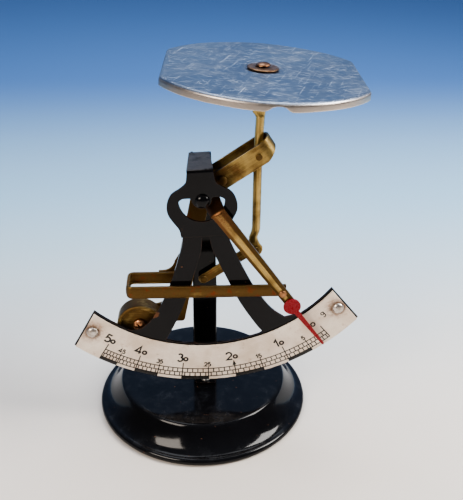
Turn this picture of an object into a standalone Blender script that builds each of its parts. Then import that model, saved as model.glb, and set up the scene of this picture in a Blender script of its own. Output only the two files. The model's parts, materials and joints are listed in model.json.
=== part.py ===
"""Letter balance: a black enamelled stand, a brass pendulum beam, a weighing pan and an arc dial.

Lengths are in millimetres and are turned into metres where a mesh is made. X runs to the right,
-Y is the front and Z is up. The shapes are laid out from the upright line through the beam pivot;
the whole balance then shifts, so that its origin is under the middle of its overall width and depth.
"""
import math

import bmesh
import bpy
from mathutils import Matrix, Vector

MM = 0.001
GAP = 0.3                      # free space between pieces that touch

# The linkage: a parallelogram in an upright plane, which keeps the pan level.
PIVOT_Z = 109.5                # beam pivot, above the table
LEVER = 26.5                   # beam pivot to rod pin, and the link's length
LEVER_REST = 34.0              # degrees above level, with the pan empty
LINK_DROP = 44.5               # beam pivot down to link pivot, and rod pin down to link pin
LINK_SIDE = 0.6                # the same, to the right
POINTER_REST = 35.65           # degrees right of straight down
POINTER_OFFSET = 2.9           # the pointer arm's line passes this far from the pivot
PENDULUM_REST = -10.8          # degrees right of straight down

# Foot and post.
FOOT_R = 48.0
FOOT_TOP_R = 37.5
FOOT_TOP_Z = 13.8
FOOT_WALL = 1.1
BEAD_R = 1.7
POST_LINE = ((14.1, 1.1, 5.4), (60.0, 1.1, 5.3), (92.0, 0.7, 4.8), (120.8, -0.2, 4.15))
#           (height, middle, half-width) along the post
POST_DEPTH = 4.4
POST_WALL = 1.0
POST_FRONT = 0.0
POST_FOOT = 11.0
TAB_REACH = 8.0
SCREW_YS = (-3.2, -8.2)        # foot screws, along the post's foot
SCREW_R = 1.2
TOP_RIVET_YS = (-2.4, -5.8)
RIVET_HOLE = 1.2
TAB_MIDDLE = -0.6              # the top rivets stand a little left of the pivot
NECK_RIVET_X = 5.6
NECK_RIVET_Z = -12.3
NECK_DEPTH = 0.5               # of the blind holes that the neck rivets stand in
SIDES = ((-1, "left"), (1, "right"))

# Front frame, seen from the front; heights are from the beam pivot.
PLATE_FRONT = -19.5
PLATE_T = 1.0
PLATE_TOP = 12.6
PLATE_BOTTOM = -15.3
PLATE_LEAN = 3.0               # degrees, top to the left
PLATE_SIDE = -0.3
TAB_HALF_FRONT = 5.1
TAB_HALF_BACK = 4.15
TAB_BACK = 0.6
WINDOW_R = 8.9
WINDOW_TOP = 1.2
TONGUE_R = 3.9
TONGUE_CENTRE = 0.6

# Dial and its bracket; radii are from the beam pivot, angles from the dial's own middle line.
BRACKET_FRONT = -18.2
BRACKET_T = 1.0
DIAL_MIDDLE = 5.3              # degrees right of straight down
LEG_MIDDLE = 4.2               # the same, for the legs
DIAL_R_IN = 67.3
DIAL_R_OUT = 86.1
DIAL_HALF_IN = 47.5
DIAL_HALF_OUT = 44.7
DIAL_T = 0.5
DIAL_EDGE = 0.7
DIAL_RIVET_R = 75.5
DIAL_RIVET_HALF = 43.3

# Lever box: a strip bent round the rod.
BOX_MID = -6.6
BOX_HALF = 5.5
BOX_T = 0.8
BOX_UP = 4.3                   # the box's walls, above and below the line of its pivots
BOX_DOWN = 3.85
BOX_END_DOWN = 0.9             # how far down they still reach at the middle of the round end
BOX_PAST_PIN = 2.0             # rod pin to the middle of the round end
BOX_RIVET = 9.4                # beam pivot to the rivet
SPINDLE_R = 2.1
TRUNNION_R = 1.0
PIN_R = 0.8

# Pendulum arm, pointer arm, brace and weight.
ARM_FRONT = -8.0
ARM_T = 1.0
ARM_HALF = 3.85
ARM_FOOT = -62.5               # down the pendulum arm, to its lower corner
WEIGHT_AT = (-26.9, -59.2)
WEIGHT_R = 9.6
WEIGHT_FRONT = -16.1
WEIGHT_BACK = -8.3
STRIP_T = 0.6
BRACE_Z = -40.1
BRACE_WIDTH = 5.3
BRACE_RISE = 0.6               # the rear bar stands this much higher than the front one
BRACE_LEFT = -31.3
BRACE_FRONT = -20.9
BRACE_BACK = -8.55
BRACE_RIGHT = 34.0
BRACE_BEND = 2.4
BRACE_RIVET_S = -40.6          # down the pendulum arm
BRACE_RIVET_AT = 51.3          # along the pointer arm
POINTER_WIDTH = 4.8
POINTER_FLARE = 1.8            # how much wider, towards the pivot, where it passes the window
POINTER_FRONT = -22.9
POINTER_HUB = -13.4
POINTER_END = 57.2
DISC_AT = 58.4
DISC_R = 3.6
NEEDLE_TIP = 84.3

# Rod, pan and lower link.
ROD_R = 1.75
ROD_TOP = 31.2                 # rod pin to the top of the rod
ROD_HEAD_SIDE = 1.2            # the head leans this far to the right of the rod pin
EYE_R = 3.1
LINK_FRONT = -2.4
LINK_T = 1.0
LINK_HALF = 2.2
PAN_R = 42.4
PAN_FLAT = 37.0
PAN_DIMPLE = 0.3
PAN_T = 0.65
PAN_RIM = 3.3
PAN_TILT = 3.4                 # degrees, right side low
PAN_NOD = 1.15                 # degrees, front side low
PAN_TURN = -2.6                # degrees, as its flats stand, clockwise from above
PAN_NOTCH = 3.5                # half the width of the notch in the rim

BLACK = ((0.010, 0.010, 0.012), 0.25, 0.0)
GREY = ((0.07, 0.07, 0.08), 0.55, 0.2)
BRASS = ((0.46, 0.30, 0.12), 0.32, 1.0)
DARK_BRASS = ((0.24, 0.14, 0.06), 0.42, 1.0)
COPPER = ((0.45, 0.20, 0.10), 0.35, 1.0)
STEEL = ((0.45, 0.45, 0.46), 0.30, 1.0)
ALUMINIUM = ((0.55, 0.58, 0.62), 0.35, 1.0)
CREAM = ((0.80, 0.72, 0.62), 0.50, 0.0)
RED = ((0.35, 0.01, 0.015), 0.30, 0.0)


# ---- outlines: lists of (x, z) points -------------------------------------------------------

def polar(radius, degrees_right):
    """A point at this radius and this many degrees right of straight down."""
    angle = math.radians(degrees_right)
    return radius * math.sin(angle), -radius * math.cos(angle)


def arc(centre, radius, start, end, steps):
    """Points on an arc; angles in degrees, counter-clockwise from +X."""
    angles = [math.radians(start + (end - start) * i / steps) for i in range(steps + 1)]
    return [(centre[0] + radius * math.cos(a), centre[1] + radius * math.sin(a)) for a in angles]


def circle(centre, radius, steps=20):
    return arc(centre, radius, 0, 360, steps)[:-1]


def smooth(points, steps=4):
    """A Catmull-Rom curve through the points."""
    ends = [points[0]] + list(points) + [points[-1]]
    curve = []
    for a, b, c, d in zip(ends, ends[1:], ends[2:], ends[3:]):
        for i in range(steps):
            t = i / steps
            curve.append(tuple(
                0.5 * (2 * q + (r - p) * t + (2 * p - 5 * q + 4 * r - s) * t ** 2
                       + (3 * q - p - 3 * r + s) * t ** 3)
                for p, q, r, s in zip(a, b, c, d)))
    return curve + [points[-1]]


def mirrored(half):
    """Close an outline by repeating its right half on the left."""
    return half + [(-x, z) for x, z in reversed(half)]


def turned_by(points, degrees_right):
    """Turn points about the beam pivot, so that straight down moves to the right."""
    angle = math.radians(degrees_right)
    cos, sin = math.cos(angle), math.sin(angle)
    return [(x * cos - z * sin, x * sin + z * cos) for x, z in points]


def round_bar(start, end, radius, steps=10):
    """The outline of a bar with round ends centred on the two points."""
    heading = math.degrees(math.atan2(end[1] - start[1], end[0] - start[0]))
    return (arc(end, radius, heading - 90, heading + 90, steps)
            + arc(start, radius, heading + 90, heading + 270, steps))


# ---- meshes ---------------------------------------------------------------------------------

def plate(loops, front, thickness):
    """A flat plate across Y: the first loop is its edge and the others are holes."""
    bm = bmesh.new()
    edges = []
    for loop in loops:
        verts = [bm.verts.new(Vector((x, front, z)) * MM) for x, z in loop]
        edges += [bm.edges.new(pair) for pair in zip(verts, verts[1:] + verts[:1])]
    bmesh.ops.triangle_fill(bm, edges=edges, use_beauty=True)
    grown = bmesh.ops.extrude_face_region(bm, geom=bm.faces[:])["geom"]
    back = [item for item in grown if isinstance(item, bmesh.types.BMVert)]
    bmesh.ops.translate(bm, verts=back, vec=(0, thickness * MM, 0))
    return bm


def skin(bm, rings, closed=False):
    """Join rings of equal length with quads, and cap or close the ends."""
    pairs = list(zip(rings, rings[1:]))
    if closed:
        pairs.append((rings[-1], rings[0]))
    for a, b in pairs:
        count = len(a)
        for i in range(count):
            j = (i + 1) % count
            corners = [a[i], a[j], b[j], b[i]]
            corners = [v for k, v in enumerate(corners) if v not in corners[:k]]
            if len(corners) > 2:
                bm.faces.new(corners)
    if not closed:
        for ring in (rings[0], rings[-1]):
            if len(set(ring)) > 2:
                bm.faces.new(ring)


def pull(bm, faces):
    """Extrude faces of a closed mesh; returns the new corners and the new end faces."""
    grown = bmesh.ops.extrude_face_region(bm, geom=faces)["geom"]
    old = [face for face in faces if face.is_valid]
    bmesh.ops.delete(bm, geom=old, context="FACES_ONLY")
    verts = [item for item in grown if isinstance(item, bmesh.types.BMVert)]
    return verts, [item for item in grown if isinstance(item, bmesh.types.BMFace)]


def turn(profile, centre, along, segments=24):
    """Turn (radius, height) points about an axis; a profile with no point on it is a ring."""
    bm = bmesh.new()
    axis = Vector(along).normalized()
    across = axis.orthogonal().normalized()
    beside = axis.cross(across)
    rings = []
    for radius, height in profile:
        middle = Vector(centre) + axis * height
        if radius == 0:
            rings.append([bm.verts.new(middle * MM)] * segments)
            continue
        ring = []
        for i in range(segments):
            angle = 2 * math.pi * i / segments
            offset = across * math.cos(angle) + beside * math.sin(angle)
            ring.append(bm.verts.new((middle + offset * radius) * MM))
        rings.append(ring)
    skin(bm, rings, closed=profile[0][0] > 0 and profile[-1][0] > 0)
    return bm


def sweep(path, side, section):
    """Carry a closed section of (across, out) points along a path of points."""
    bm = bmesh.new()
    side = Vector(side).normalized()
    path = [Vector(p) for p in path]
    rings = []
    for i, place in enumerate(path):
        ahead = path[min(i + 1, len(path) - 1)] - path[max(i - 1, 0)]
        out = ahead.cross(side).normalized()
        rings.append([bm.verts.new((place + side * u + out * v) * MM) for u, v in section(i)])
    skin(bm, rings)
    return bm


def rounded_path(points, radius, steps=6):
    """Replace each inner corner of a path by an arc of this radius."""
    points = [Vector(p) for p in points]
    path = [points[0]]
    for before, corner, after in zip(points, points[1:], points[2:]):
        a, b = (before - corner).normalized(), (after - corner).normalized()
        half = a.angle(b) / 2
        reach = radius / math.tan(half)
        centre = corner + (a + b).normalized() * radius / math.sin(half)
        first, last = corner + a * reach - centre, corner + b * reach - centre
        axis, bend = first.cross(last), first.angle(last)
        for i in range(steps + 1):
            path.append(centre + Matrix.Rotation(bend * i / steps, 3, axis) @ first)
    return path + [points[-1]]


def channel(width, depth, crown, lift=0.0):
    """A shallow crowned channel section whose back faces out; lift shifts it across."""
    half, t = width / 2, STRIP_T
    outer = [(-half, -depth), (-half, -0.3), (-half + 0.5, 0.0), (-half * 0.4, crown * 0.8),
             (0.0, crown), (half * 0.4, crown * 0.8), (half - 0.5, 0.0), (half, -0.3),
             (half, -depth)]
    inner = [(half - t, -depth), (half - t, -t - 0.1), (half * 0.4, crown * 0.8 - t),
             (0.0, crown - t), (-half * 0.4, crown * 0.8 - t), (-half + t, -t - 0.1),
             (-half + t, -depth)]
    return [(u + lift, v) for u, v in outer + inner]


def oval(half_width, half_depth, shift=0.0, points=12, squareness=1.0):
    """A rounded section: squareness 1 is an ellipse, and less is nearer to a rectangle."""
    ring = []
    for i in range(points):
        angle = 2 * math.pi * (i + 0.5) / points
        u, v = math.cos(angle), math.sin(angle)
        ring.append((shift + half_width * math.copysign(abs(u) ** squareness, u),
                     half_depth * math.copysign(abs(v) ** squareness, v)))
    return ring


# ---- objects --------------------------------------------------------------------------------

def axis_empty(name, place, parent=None):
    """An empty on a joint's axis, which carries the pieces that turn with it."""
    empty = bpy.data.objects.new(name, None)
    empty.location = Vector(place) * MM
    empty.parent = parent
    empty.empty_display_size = 0.01
    bpy.context.collection.objects.link(empty)
    return empty


def add(name, bm, finish, parent):
    """Make the mesh an object of its own, with its own material."""
    bmesh.ops.recalc_face_normals(bm, faces=bm.faces[:])
    mesh = bpy.data.meshes.new(name)
    bm.to_mesh(mesh)
    bm.free()
    colour, roughness, metallic = finish
    material = bpy.data.materials.new(name)
    material.use_nodes = True
    shader = material.node_tree.nodes["Principled BSDF"]
    shader.inputs["Base Color"].default_value = (*colour, 1.0)
    shader.inputs["Roughness"].default_value = roughness
    shader.inputs["Metallic"].default_value = metallic
    mesh.materials.append(material)
    mesh.shade_smooth()
    mesh.set_sharp_from_angle(angle=math.radians(35))
    obj = bpy.data.objects.new(name, mesh)
    obj.parent = parent
    bpy.context.collection.objects.link(obj)
    return obj


def drill(obj, centre, along, radius, length):
    """Cut a round hole, centred on the point, with a hidden cutter."""
    bm = turn([(0, -length / 2), (radius, -length / 2), (radius, length / 2), (0, length / 2)],
              centre, along, 16)
    bmesh.ops.recalc_face_normals(bm, faces=bm.faces[:])
    mesh = bpy.data.meshes.new("hole")
    bm.to_mesh(mesh)
    bm.free()
    cutter = bpy.data.objects.new("hole", mesh)
    cutter.parent = obj.parent
    cutter.hide_render = True
    cutter.display_type = "WIRE"
    bpy.context.collection.objects.link(cutter)
    cut = obj.modifiers.new("hole", "BOOLEAN")
    cut.operation = "DIFFERENCE"
    cut.solver = "EXACT"
    cut.object = cutter
    return cutter


def dome(radius, height, steps=3):
    """(radius, height) points of a domed head, from its edge to its crown."""
    angles = [math.pi / 2 * i / steps for i in range(steps + 1)]
    points = [(radius * math.cos(a), height * math.sin(a)) for a in angles]
    return points[:-1] + [(0, height)]


def rivet(centre, head_r, head_h, shank_r, length, tail_r, tail_h):
    """A domed rivet along Y: its head's flat is at the point, and its shank runs back from it."""
    profile = [(0, -length - tail_h), (tail_r, -length - tail_h), (tail_r, -length),
               (shank_r, -length), (shank_r, 0)]
    return turn(profile + dome(head_r, head_h), centre, (0, -1, 0), 14)


# ---- stand ----------------------------------------------------------------------------------

def make_foot(stand):
    top, wall = FOOT_TOP_Z, FOOT_WALL
    bead_x = FOOT_R - BEAD_R
    outer = [(0, top), (FOOT_TOP_R - 1.0, top), (FOOT_TOP_R - 0.2, top - 0.3),
             (FOOT_TOP_R + 0.6, top - 1.2), (FOOT_TOP_R + 3.2, top - 5.2),
             (FOOT_TOP_R + 6.2, top - 9.0), (bead_x - 0.8, 3.7)]
    bead = [(r, z) for r, z in arc((bead_x, BEAD_R), BEAD_R, 75, -60, 6)]
    under = [(bead_x + 0.7, 0), (bead_x - 0.9, 0), (bead_x - 1.6, 0.9), (bead_x - 1.8, 2.6)]
    inner = [(FOOT_TOP_R + 6.2 - wall, top - 9.6), (FOOT_TOP_R + 3.2 - wall, top - 5.7),
             (FOOT_TOP_R + 0.2 - wall, top - 1.2 - wall * 0.4), (FOOT_TOP_R - 2.0, top - wall),
             (0, top - wall)]
    foot = add("base_shell", turn(outer + bead + under + inner, (0, 0, 0), (0, 0, 1), 56), BLACK, stand)
    for y in SCREW_YS:
        drill(foot, (POST_LINE[0][1], y, top), (0, 0, 1), SCREW_R + GAP, 6)


def make_foot_fasteners(stand):
    x = POST_LINE[0][1]
    seat = FOOT_TOP_Z + GAP + POST_WALL + GAP
    nut_top = FOOT_TOP_Z - FOOT_WALL - GAP
    for place, y in zip(("back", "front"), SCREW_YS):
        profile = [(0, nut_top - 3.4 - seat), (SCREW_R, nut_top - 3.4 - seat), (SCREW_R, 0)]
        screw = turn(profile + dome(2.2, 1.4), (x, y, seat), (0, 0, 1), 16)
        add("foot_screw_" + place, screw, STEEL, stand)
        hexagon = [(SCREW_R + GAP, 0), (SCREW_R + GAP, 2.2), (2.3, 2.2), (2.3, 0)]
        nut = turn(hexagon, (x, y, nut_top - 2.2), (0, 0, 1), 6)
        add("foot_nut_" + place, nut, STEEL, stand)


def post_at(height):
    """The post's middle and half-width at a height above the table."""
    for (z0, middle0, half0), (z1, middle1, half1) in zip(POST_LINE, POST_LINE[1:]):
        if height <= z1:
            break
    share = (height - z0) / (z1 - z0)
    return middle0 + (middle1 - middle0) * share, half0 + (half1 - half0) * share


def make_post(stand):
    """A pressed channel, open to the back, with a foot and a top tab turned forwards."""
    wall, depth, bend = POST_WALL, POST_DEPTH, 1.0
    low = FOOT_TOP_Z + GAP
    high = PIVOT_Z + PLATE_TOP - PLATE_T - GAP

    def section(half):
        corner = [(x, POST_FRONT + bend - y) for x, y in arc((half - bend, 0), bend, 90, 0, 4)]
        right = corner + [(half, depth), (half - wall, depth), (half - wall, wall)]
        return right + [(-x, y) for x, y in reversed(right)]

    levels = [low, low + POST_WALL, POST_LINE[1][0], POST_LINE[2][0], high - POST_WALL, high]
    bm = bmesh.new()
    rings = []
    for z in levels:
        middle, half = post_at(z)
        rings.append([bm.verts.new(Vector((x + middle, y, z)) * MM) for x, y in section(half)])
    skin(bm, rings)
    for z, reach, narrow in ((low + POST_WALL / 2, POST_FOOT, 1.0),
                             (high - POST_WALL / 2, TAB_REACH, 0.9)):
        bm.faces.ensure_lookup_table()
        face = min((f for f in bm.faces if abs(f.calc_center_median().y - POST_FRONT * MM) < 1e-6),
                   key=lambda f: abs(f.calc_center_median().z - z * MM))
        verts, _ = pull(bm, [face])
        middle = post_at(z)[0] * MM
        bmesh.ops.translate(bm, verts=verts, vec=(-middle, -reach * MM, 0))
        bmesh.ops.scale(bm, verts=verts, vec=(narrow, 1, 1))
        bmesh.ops.translate(bm, verts=verts, vec=(middle, 0, 0))
    post = add("rear_post", bm, BLACK, stand)
    for y in SCREW_YS:
        drill(post, (POST_LINE[0][1], y, low), (0, 0, 1), SCREW_R + GAP, 4)
    drill(post, (0, 0.5, PIVOT_Z), (0, 1, 0), TRUNNION_R + GAP, 4)
    drill(post, (LINK_SIDE, 0.5, PIVOT_Z - LINK_DROP), (0, 1, 0), TRUNNION_R + GAP, 4)
    for y in TOP_RIVET_YS:
        drill(post, (TAB_MIDDLE, y, high), (0, 0, 1), RIVET_HOLE, 4)


def window():
    """The half-round window, with a tongue that hangs into it from above."""
    corner = math.degrees(math.asin(WINDOW_TOP / WINDOW_R)) - 7
    right = arc((0, TONGUE_CENTRE), TONGUE_R, -90, 0, 6)
    right += [(TONGUE_R + 0.6, WINDOW_TOP), (WINDOW_R - 1.6, WINDOW_TOP),
              (WINDOW_R - 0.7, WINDOW_TOP - 0.5)]
    right += arc((0, 0), WINDOW_R, corner, -90, 14)
    left = [(-x, z) for x, z in reversed(right)]
    return right + left[1:-1]


def make_front_plate(stand):
    """The ring plate, whose top is folded back to meet the post."""
    bend = 1.2
    shoulder = smooth([(TAB_HALF_FRONT + 0.3, 9.0), (6.0, 7.2), (8.2, 5.4), (11.6, 3.2),
                       (13.5, -0.8), (13.4, -5.0), (11.4, -8.8), (9.5, -11.9),
                       (9.0, PLATE_BOTTOM)], 3)
    half = [(TAB_HALF_FRONT, PLATE_TOP - bend)] + shoulder
    bm = plate([mirrored(half), window()], PLATE_FRONT, PLATE_T)
    top = (PLATE_TOP - bend) * MM
    end = [f for f in bm.faces if all(abs(v.co.z - top) < 1e-7 for v in f.verts)]
    hinge = Vector((0, PLATE_FRONT + bend, PLATE_TOP - bend)) * MM
    steps = 4
    for _ in range(steps):
        verts, end = pull(bm, end)
        turn_matrix = Matrix.Rotation(-math.pi / 2 / steps, 3, "X")
        bmesh.ops.rotate(bm, verts=verts, cent=hinge, matrix=turn_matrix)
    verts, _ = pull(bm, end)
    bmesh.ops.translate(bm, verts=verts, vec=(0, (TAB_BACK - PLATE_FRONT - bend) * MM, 0))
    bmesh.ops.scale(bm, verts=verts, vec=(TAB_HALF_BACK / TAB_HALF_FRONT, 1, 1))
    lean = Matrix.Rotation(-math.radians(PLATE_LEAN), 3, "Y")
    bmesh.ops.rotate(bm, verts=bm.verts[:], cent=(0, 0, 0), matrix=lean)
    bmesh.ops.translate(bm, verts=bm.verts[:], vec=(PLATE_SIDE * MM, 0, PIVOT_Z * MM))
    front = add("front_plate", bm, BLACK, stand)
    drill(front, (0, PLATE_FRONT, PIVOT_Z), (0, 1, 0), TRUNNION_R + GAP, 4)
    for side in (-1, 1):
        neck = (side * NECK_RIVET_X, PLATE_FRONT + PLATE_T, PIVOT_Z + NECK_RIVET_Z)
        drill(front, neck, (0, 1, 0), RIVET_HOLE, 2 * NECK_DEPTH)
    under = PIVOT_Z + PLATE_TOP - PLATE_T
    for y in TOP_RIVET_YS:
        drill(front, (TAB_MIDDLE, y, under), (0, 0, 1), RIVET_HOLE, 1.2)


def make_bracket(stand):
    """Two curved legs and the band that carries the dial, in one plate."""
    outer_leg = smooth([(9.0, -10.4), (9.2, -17.0), (11.2, -23.5), (14.1, -31.5), (18.6, -41.9),
                        (24.8, -52.0), (30.4, -57.2)], 4)
    inner_leg = smooth([(0.0, -12.8), (1.2, -14.2), (2.0, -21.0), (3.9, -27.0), (7.4, -36.4),
                        (12.2, -48.6), (18.0, -59.4), (20.8, -63.6)], 3)
    joint = math.degrees(math.atan2(36.0, 56.4))
    inner_meet = math.degrees(math.atan2(20.8, 63.6))
    band_in = [polar(DIAL_R_IN, a) for a in
               [joint + (DIAL_HALF_IN - joint) * i / 6 for i in range(7)]]
    band_out = [polar(DIAL_R_OUT, DIAL_HALF_OUT * (1 - i / 16)) for i in range(17)]
    leg = [(4.5, -9.7), (8.4, -9.7)] + outer_leg
    band = mirrored(band_in + band_out[:-1])
    band.insert(len(band) // 2, band_out[-1])
    band = turned_by(band, DIAL_MIDDLE)
    legs_out = turned_by(mirrored(leg), LEG_MIDDLE)
    outline = legs_out[:len(leg)] + band + legs_out[len(leg):]
    legs_in = turned_by(mirrored(inner_leg)[:-1], LEG_MIDDLE)
    gap_arc = [polar(DIAL_R_IN, inner_meet * (1 - i / 8)) for i in range(1, 16)]
    gap_arc = turned_by(gap_arc, DIAL_MIDDLE)
    gap = legs_in[:len(inner_leg)] + gap_arc + legs_in[len(inner_leg):]
    loops = [outline, gap]
    for side in (-1, 1):
        rivet_place = polar(DIAL_RIVET_R, DIAL_MIDDLE + side * DIAL_RIVET_HALF)
        loops.append(circle(rivet_place, 1.2 + GAP, 14))
        loops.append(circle((side * NECK_RIVET_X, NECK_RIVET_Z), RIVET_HOLE, 12))
    loops = [[(x, z + PIVOT_Z) for x, z in loop] for loop in loops]
    add("dial_bracket", plate(loops, BRACKET_FRONT, BRACKET_T), BLACK, stand)

    face_in, face_out = DIAL_R_IN + DIAL_EDGE, DIAL_R_OUT - 0.1
    steps = 36
    inner = [polar(face_in, (DIAL_HALF_IN - 0.5) * (2 * i / steps - 1)) for i in range(steps + 1)]
    outer = [polar(face_out, (DIAL_HALF_OUT - 0.4) * (1 - 2 * i / steps)) for i in range(steps + 1)]
    loops = [turned_by(inner + outer, DIAL_MIDDLE)]
    face_front = BRACKET_FRONT - GAP - DIAL_T
    for side, name in SIDES:
        x, z = polar(DIAL_RIVET_R, DIAL_MIDDLE + side * DIAL_RIVET_HALF)
        loops.append(circle((x, z), 1.2 + GAP, 14))
        stud = rivet((x, face_front - GAP, z + PIVOT_Z), 2.5, 1.5, 1.2,
                     BRACKET_T + DIAL_T + 3 * GAP, 1.9, 0.7)
        add("dial_rivet_" + name, stud, STEEL, stand)
    loops = [[(x, z + PIVOT_Z) for x, z in loop] for loop in loops]
    add("dial_face", plate(loops, face_front, DIAL_T), CREAM, stand)


def make_stand_fasteners(stand):
    start = PLATE_FRONT + PLATE_T - NECK_DEPTH + GAP
    tail = BRACKET_FRONT + BRACKET_T + GAP - start
    for side, name in SIDES:
        profile = [(0, 0), (0.9, 0), (0.9, tail), (1.6, tail), (1.6, tail + 0.4), (0, tail + 0.7)]
        place = (side * NECK_RIVET_X, start, NECK_RIVET_Z + PIVOT_Z)
        add("neck_rivet_" + name, turn(profile, place, (0, 1, 0), 14), BLACK, stand)

    tab_under = PIVOT_Z + PLATE_TOP - PLATE_T - GAP - POST_WALL
    for place, y in zip(("back", "front"), TOP_RIVET_YS):
        profile = [(0, 1.5), (0.9, 1.5), (0.9, -GAP), (1.7, -GAP), (1.7, -GAP - 0.5),
                   (0, -GAP - 0.7)]
        top_rivet = turn(profile, (TAB_MIDDLE, y, tab_under), (0, 0, 1), 16)
        add("top_rivet_" + place, top_rivet, BLACK, stand)

    front = [(0, -3.6), (TRUNNION_R, -3.6), (TRUNNION_R, GAP)] + [
        (r, h + GAP) for r, h in dome(2.85, 1.7, 4)]
    add("front_pivot_screw", turn(front, (0, PLATE_FRONT, PIVOT_Z), (0, -1, 0), 20), BLACK, stand)
    rear = [(0, -2.6), (TRUNNION_R, -2.6), (TRUNNION_R, POST_WALL + GAP)] + [
        (r, h + POST_WALL + GAP) for r, h in dome(2.5, 1.4)]
    add("rear_pivot_screw", turn(rear, (0, POST_FRONT, PIVOT_Z), (0, 1, 0), 14), STEEL, stand)

    head = LINK_FRONT - GAP
    stud = rivet((LINK_SIDE, head, PIVOT_Z - LINK_DROP), 1.6, 0.7, TRUNNION_R,
                 POST_FRONT + POST_WALL + GAP - head, 1.7, 0.7)
    add("link_stud", stud, DARK_BRASS, stand)


# ---- beam: places are measured from the beam pivot ------------------------------------------

def along_lever(distance, above=0.0):
    angle = math.radians(LEVER_REST)
    return (distance * math.cos(angle) - above * math.sin(angle),
            distance * math.sin(angle) + above * math.cos(angle))


def along_pointer(distance, outward=POINTER_OFFSET):
    angle = math.radians(POINTER_REST)
    return (distance * math.sin(angle) + outward * math.cos(angle),
            -distance * math.cos(angle) + outward * math.sin(angle))


def make_spindle(beam):
    front, back = PLATE_FRONT + PLATE_T + 0.5, POST_FRONT - 0.5
    bore = TRUNNION_R + GAP
    length = back - front
    profile = [(0, 2.6), (bore, 2.6), (bore, 0), (SPINDLE_R, 0), (SPINDLE_R, length),
               (bore, length), (bore, length - 2.6), (0, length - 2.6)]
    add("spindle", turn(profile, (0, front, 0), (0, 1, 0), 20), STEEL, beam)

    front_wall = BOX_MID - BOX_HALF + BOX_T
    back_wall = BOX_MID + BOX_HALF - BOX_T
    spans = {"front": (front_wall, ARM_FRONT), "back": (ARM_FRONT + ARM_T, back_wall)}
    for name, (start, end) in spans.items():
        low, high = start + GAP, end - GAP
        ring = [(SPINDLE_R + GAP, low), (SPINDLE_R + GAP, high), (3.4, high), (3.4, low)]
        add("spindle_collar_" + name, turn(ring, (0, 0, 0), (0, 1, 0), 20), BRASS, beam)


def make_lever_box(beam):
    """A strip that runs out along the front, round the rod and back along the rear."""
    mid_r = BOX_HALF - BOX_T / 2
    end = LEVER + BOX_PAST_PIN
    path = []
    for sign in (-1, 1):
        ys = BOX_MID + sign * mid_r
        straight = [(s, ys) for s in (-4.25, -3.7, -2.2, 0.0, 12.0, end)]
        path += straight if sign < 0 else []
        if sign < 0:
            for i in range(1, 12):
                angle = math.radians(-90 + 15 * i)
                path.append((end + mid_r * math.cos(angle), BOX_MID + mid_r * math.sin(angle)))
        else:
            path += reversed(straight)
    points = []
    for s, y in path:
        x, z = along_lever(s)
        points.append((x, y, z))
    normal = along_lever(0, 1)
    half_t = BOX_T / 2

    def section(i):
        s, y = path[i]
        if s < 0:
            up = down = max(0.6, math.sqrt(max(0.0, BOX_UP ** 2 - s ** 2)))
            down = min(down, BOX_DOWN)
        else:
            round_end = max(0.0, 1 - abs(y - BOX_MID) / mid_r)
            rise = (BOX_DOWN - BOX_END_DOWN) * min(1.0, 1.1 * round_end ** 0.6)
            up, down = BOX_UP, BOX_DOWN - rise
        return [(-down, -half_t), (up, -half_t), (up, half_t), (-down, half_t)]

    box = add("lever_box", sweep(points, (normal[0], 0, normal[1]), section), BRASS, beam)
    drill(box, (0, BOX_MID, 0), (0, 1, 0), SPINDLE_R + GAP, 16)
    x, z = along_lever(BOX_RIVET)
    drill(box, (x, BOX_MID, z), (0, 1, 0), 1.2 + GAP, 16)
    x, z = along_lever(LEVER)
    drill(box, (x, BOX_MID, z), (0, 1, 0), PIN_R + GAP, 16)

    front = BOX_MID - BOX_HALF - GAP
    width = 2 * BOX_HALF + 2 * GAP
    x, z = along_lever(BOX_RIVET)
    add("lever_rivet", rivet((x, front, z), 2.0, 0.8, 1.2, width, 1.8, 0.6), DARK_BRASS, beam)
    x, z = along_lever(LEVER)
    add("rod_pin", rivet((x, front, z), 1.35, 0.5, PIN_R, width, 1.3, 0.5), DARK_BRASS, beam)


def make_pendulum(beam):
    """The arm that hangs from the spindle and carries the weight on its foot."""
    down = [(ARM_HALF, 0.0)] + arc((ARM_HALF - 1.5, ARM_FOOT + 1.0), 1.5, 0, -80, 5)
    down = turned_by(down, PENDULUM_REST)
    wx, wz = WEIGHT_AT
    foot = arc((wx, wz), 3.6, -100, -280, 9)
    inner = turned_by([(-ARM_HALF - 3.0, -54.6), (-ARM_HALF - 0.6, -53.4), (-ARM_HALF, -50.6),
                       (-ARM_HALF, BRACE_RIVET_S - 2.6)], PENDULUM_REST)
    edge_x = inner[-1][0]
    ear_top = BRACE_Z + BRACE_RISE + BRACE_WIDTH / 2 - 0.1
    flare = arc((edge_x - 4.9, ear_top + 5.2), 5.2, -90, -8, 6)
    inner += [(edge_x - 6.5, BRACE_Z - BRACE_WIDTH / 2 + 0.1), (edge_x - 6.5, ear_top)] + flare
    inner += turned_by([(-ARM_HALF, -30.0), (-ARM_HALF, 0.0)], PENDULUM_REST)
    lug_x, lug_z = along_lever(BOX_RIVET)
    crown = arc((0, 0), ARM_HALF, 165, LEVER_REST + 90, 6)
    lug = arc((lug_x, lug_z), 3.2, LEVER_REST + 88, LEVER_REST - 88, 9)
    outline = crown + lug + down + foot + inner
    holes = [circle((0, 0), SPINDLE_R + GAP, 20), circle((lug_x, lug_z), 1.2 + GAP, 14),
             circle(WEIGHT_AT, 1.5 + GAP, 14),
             circle(turned_by([(0, BRACE_RIVET_S)], PENDULUM_REST)[0], 1.0 + GAP, 12)]
    add("pendulum_arm", plate([outline] + holes, ARM_FRONT, ARM_T), DARK_BRASS, beam)


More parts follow.
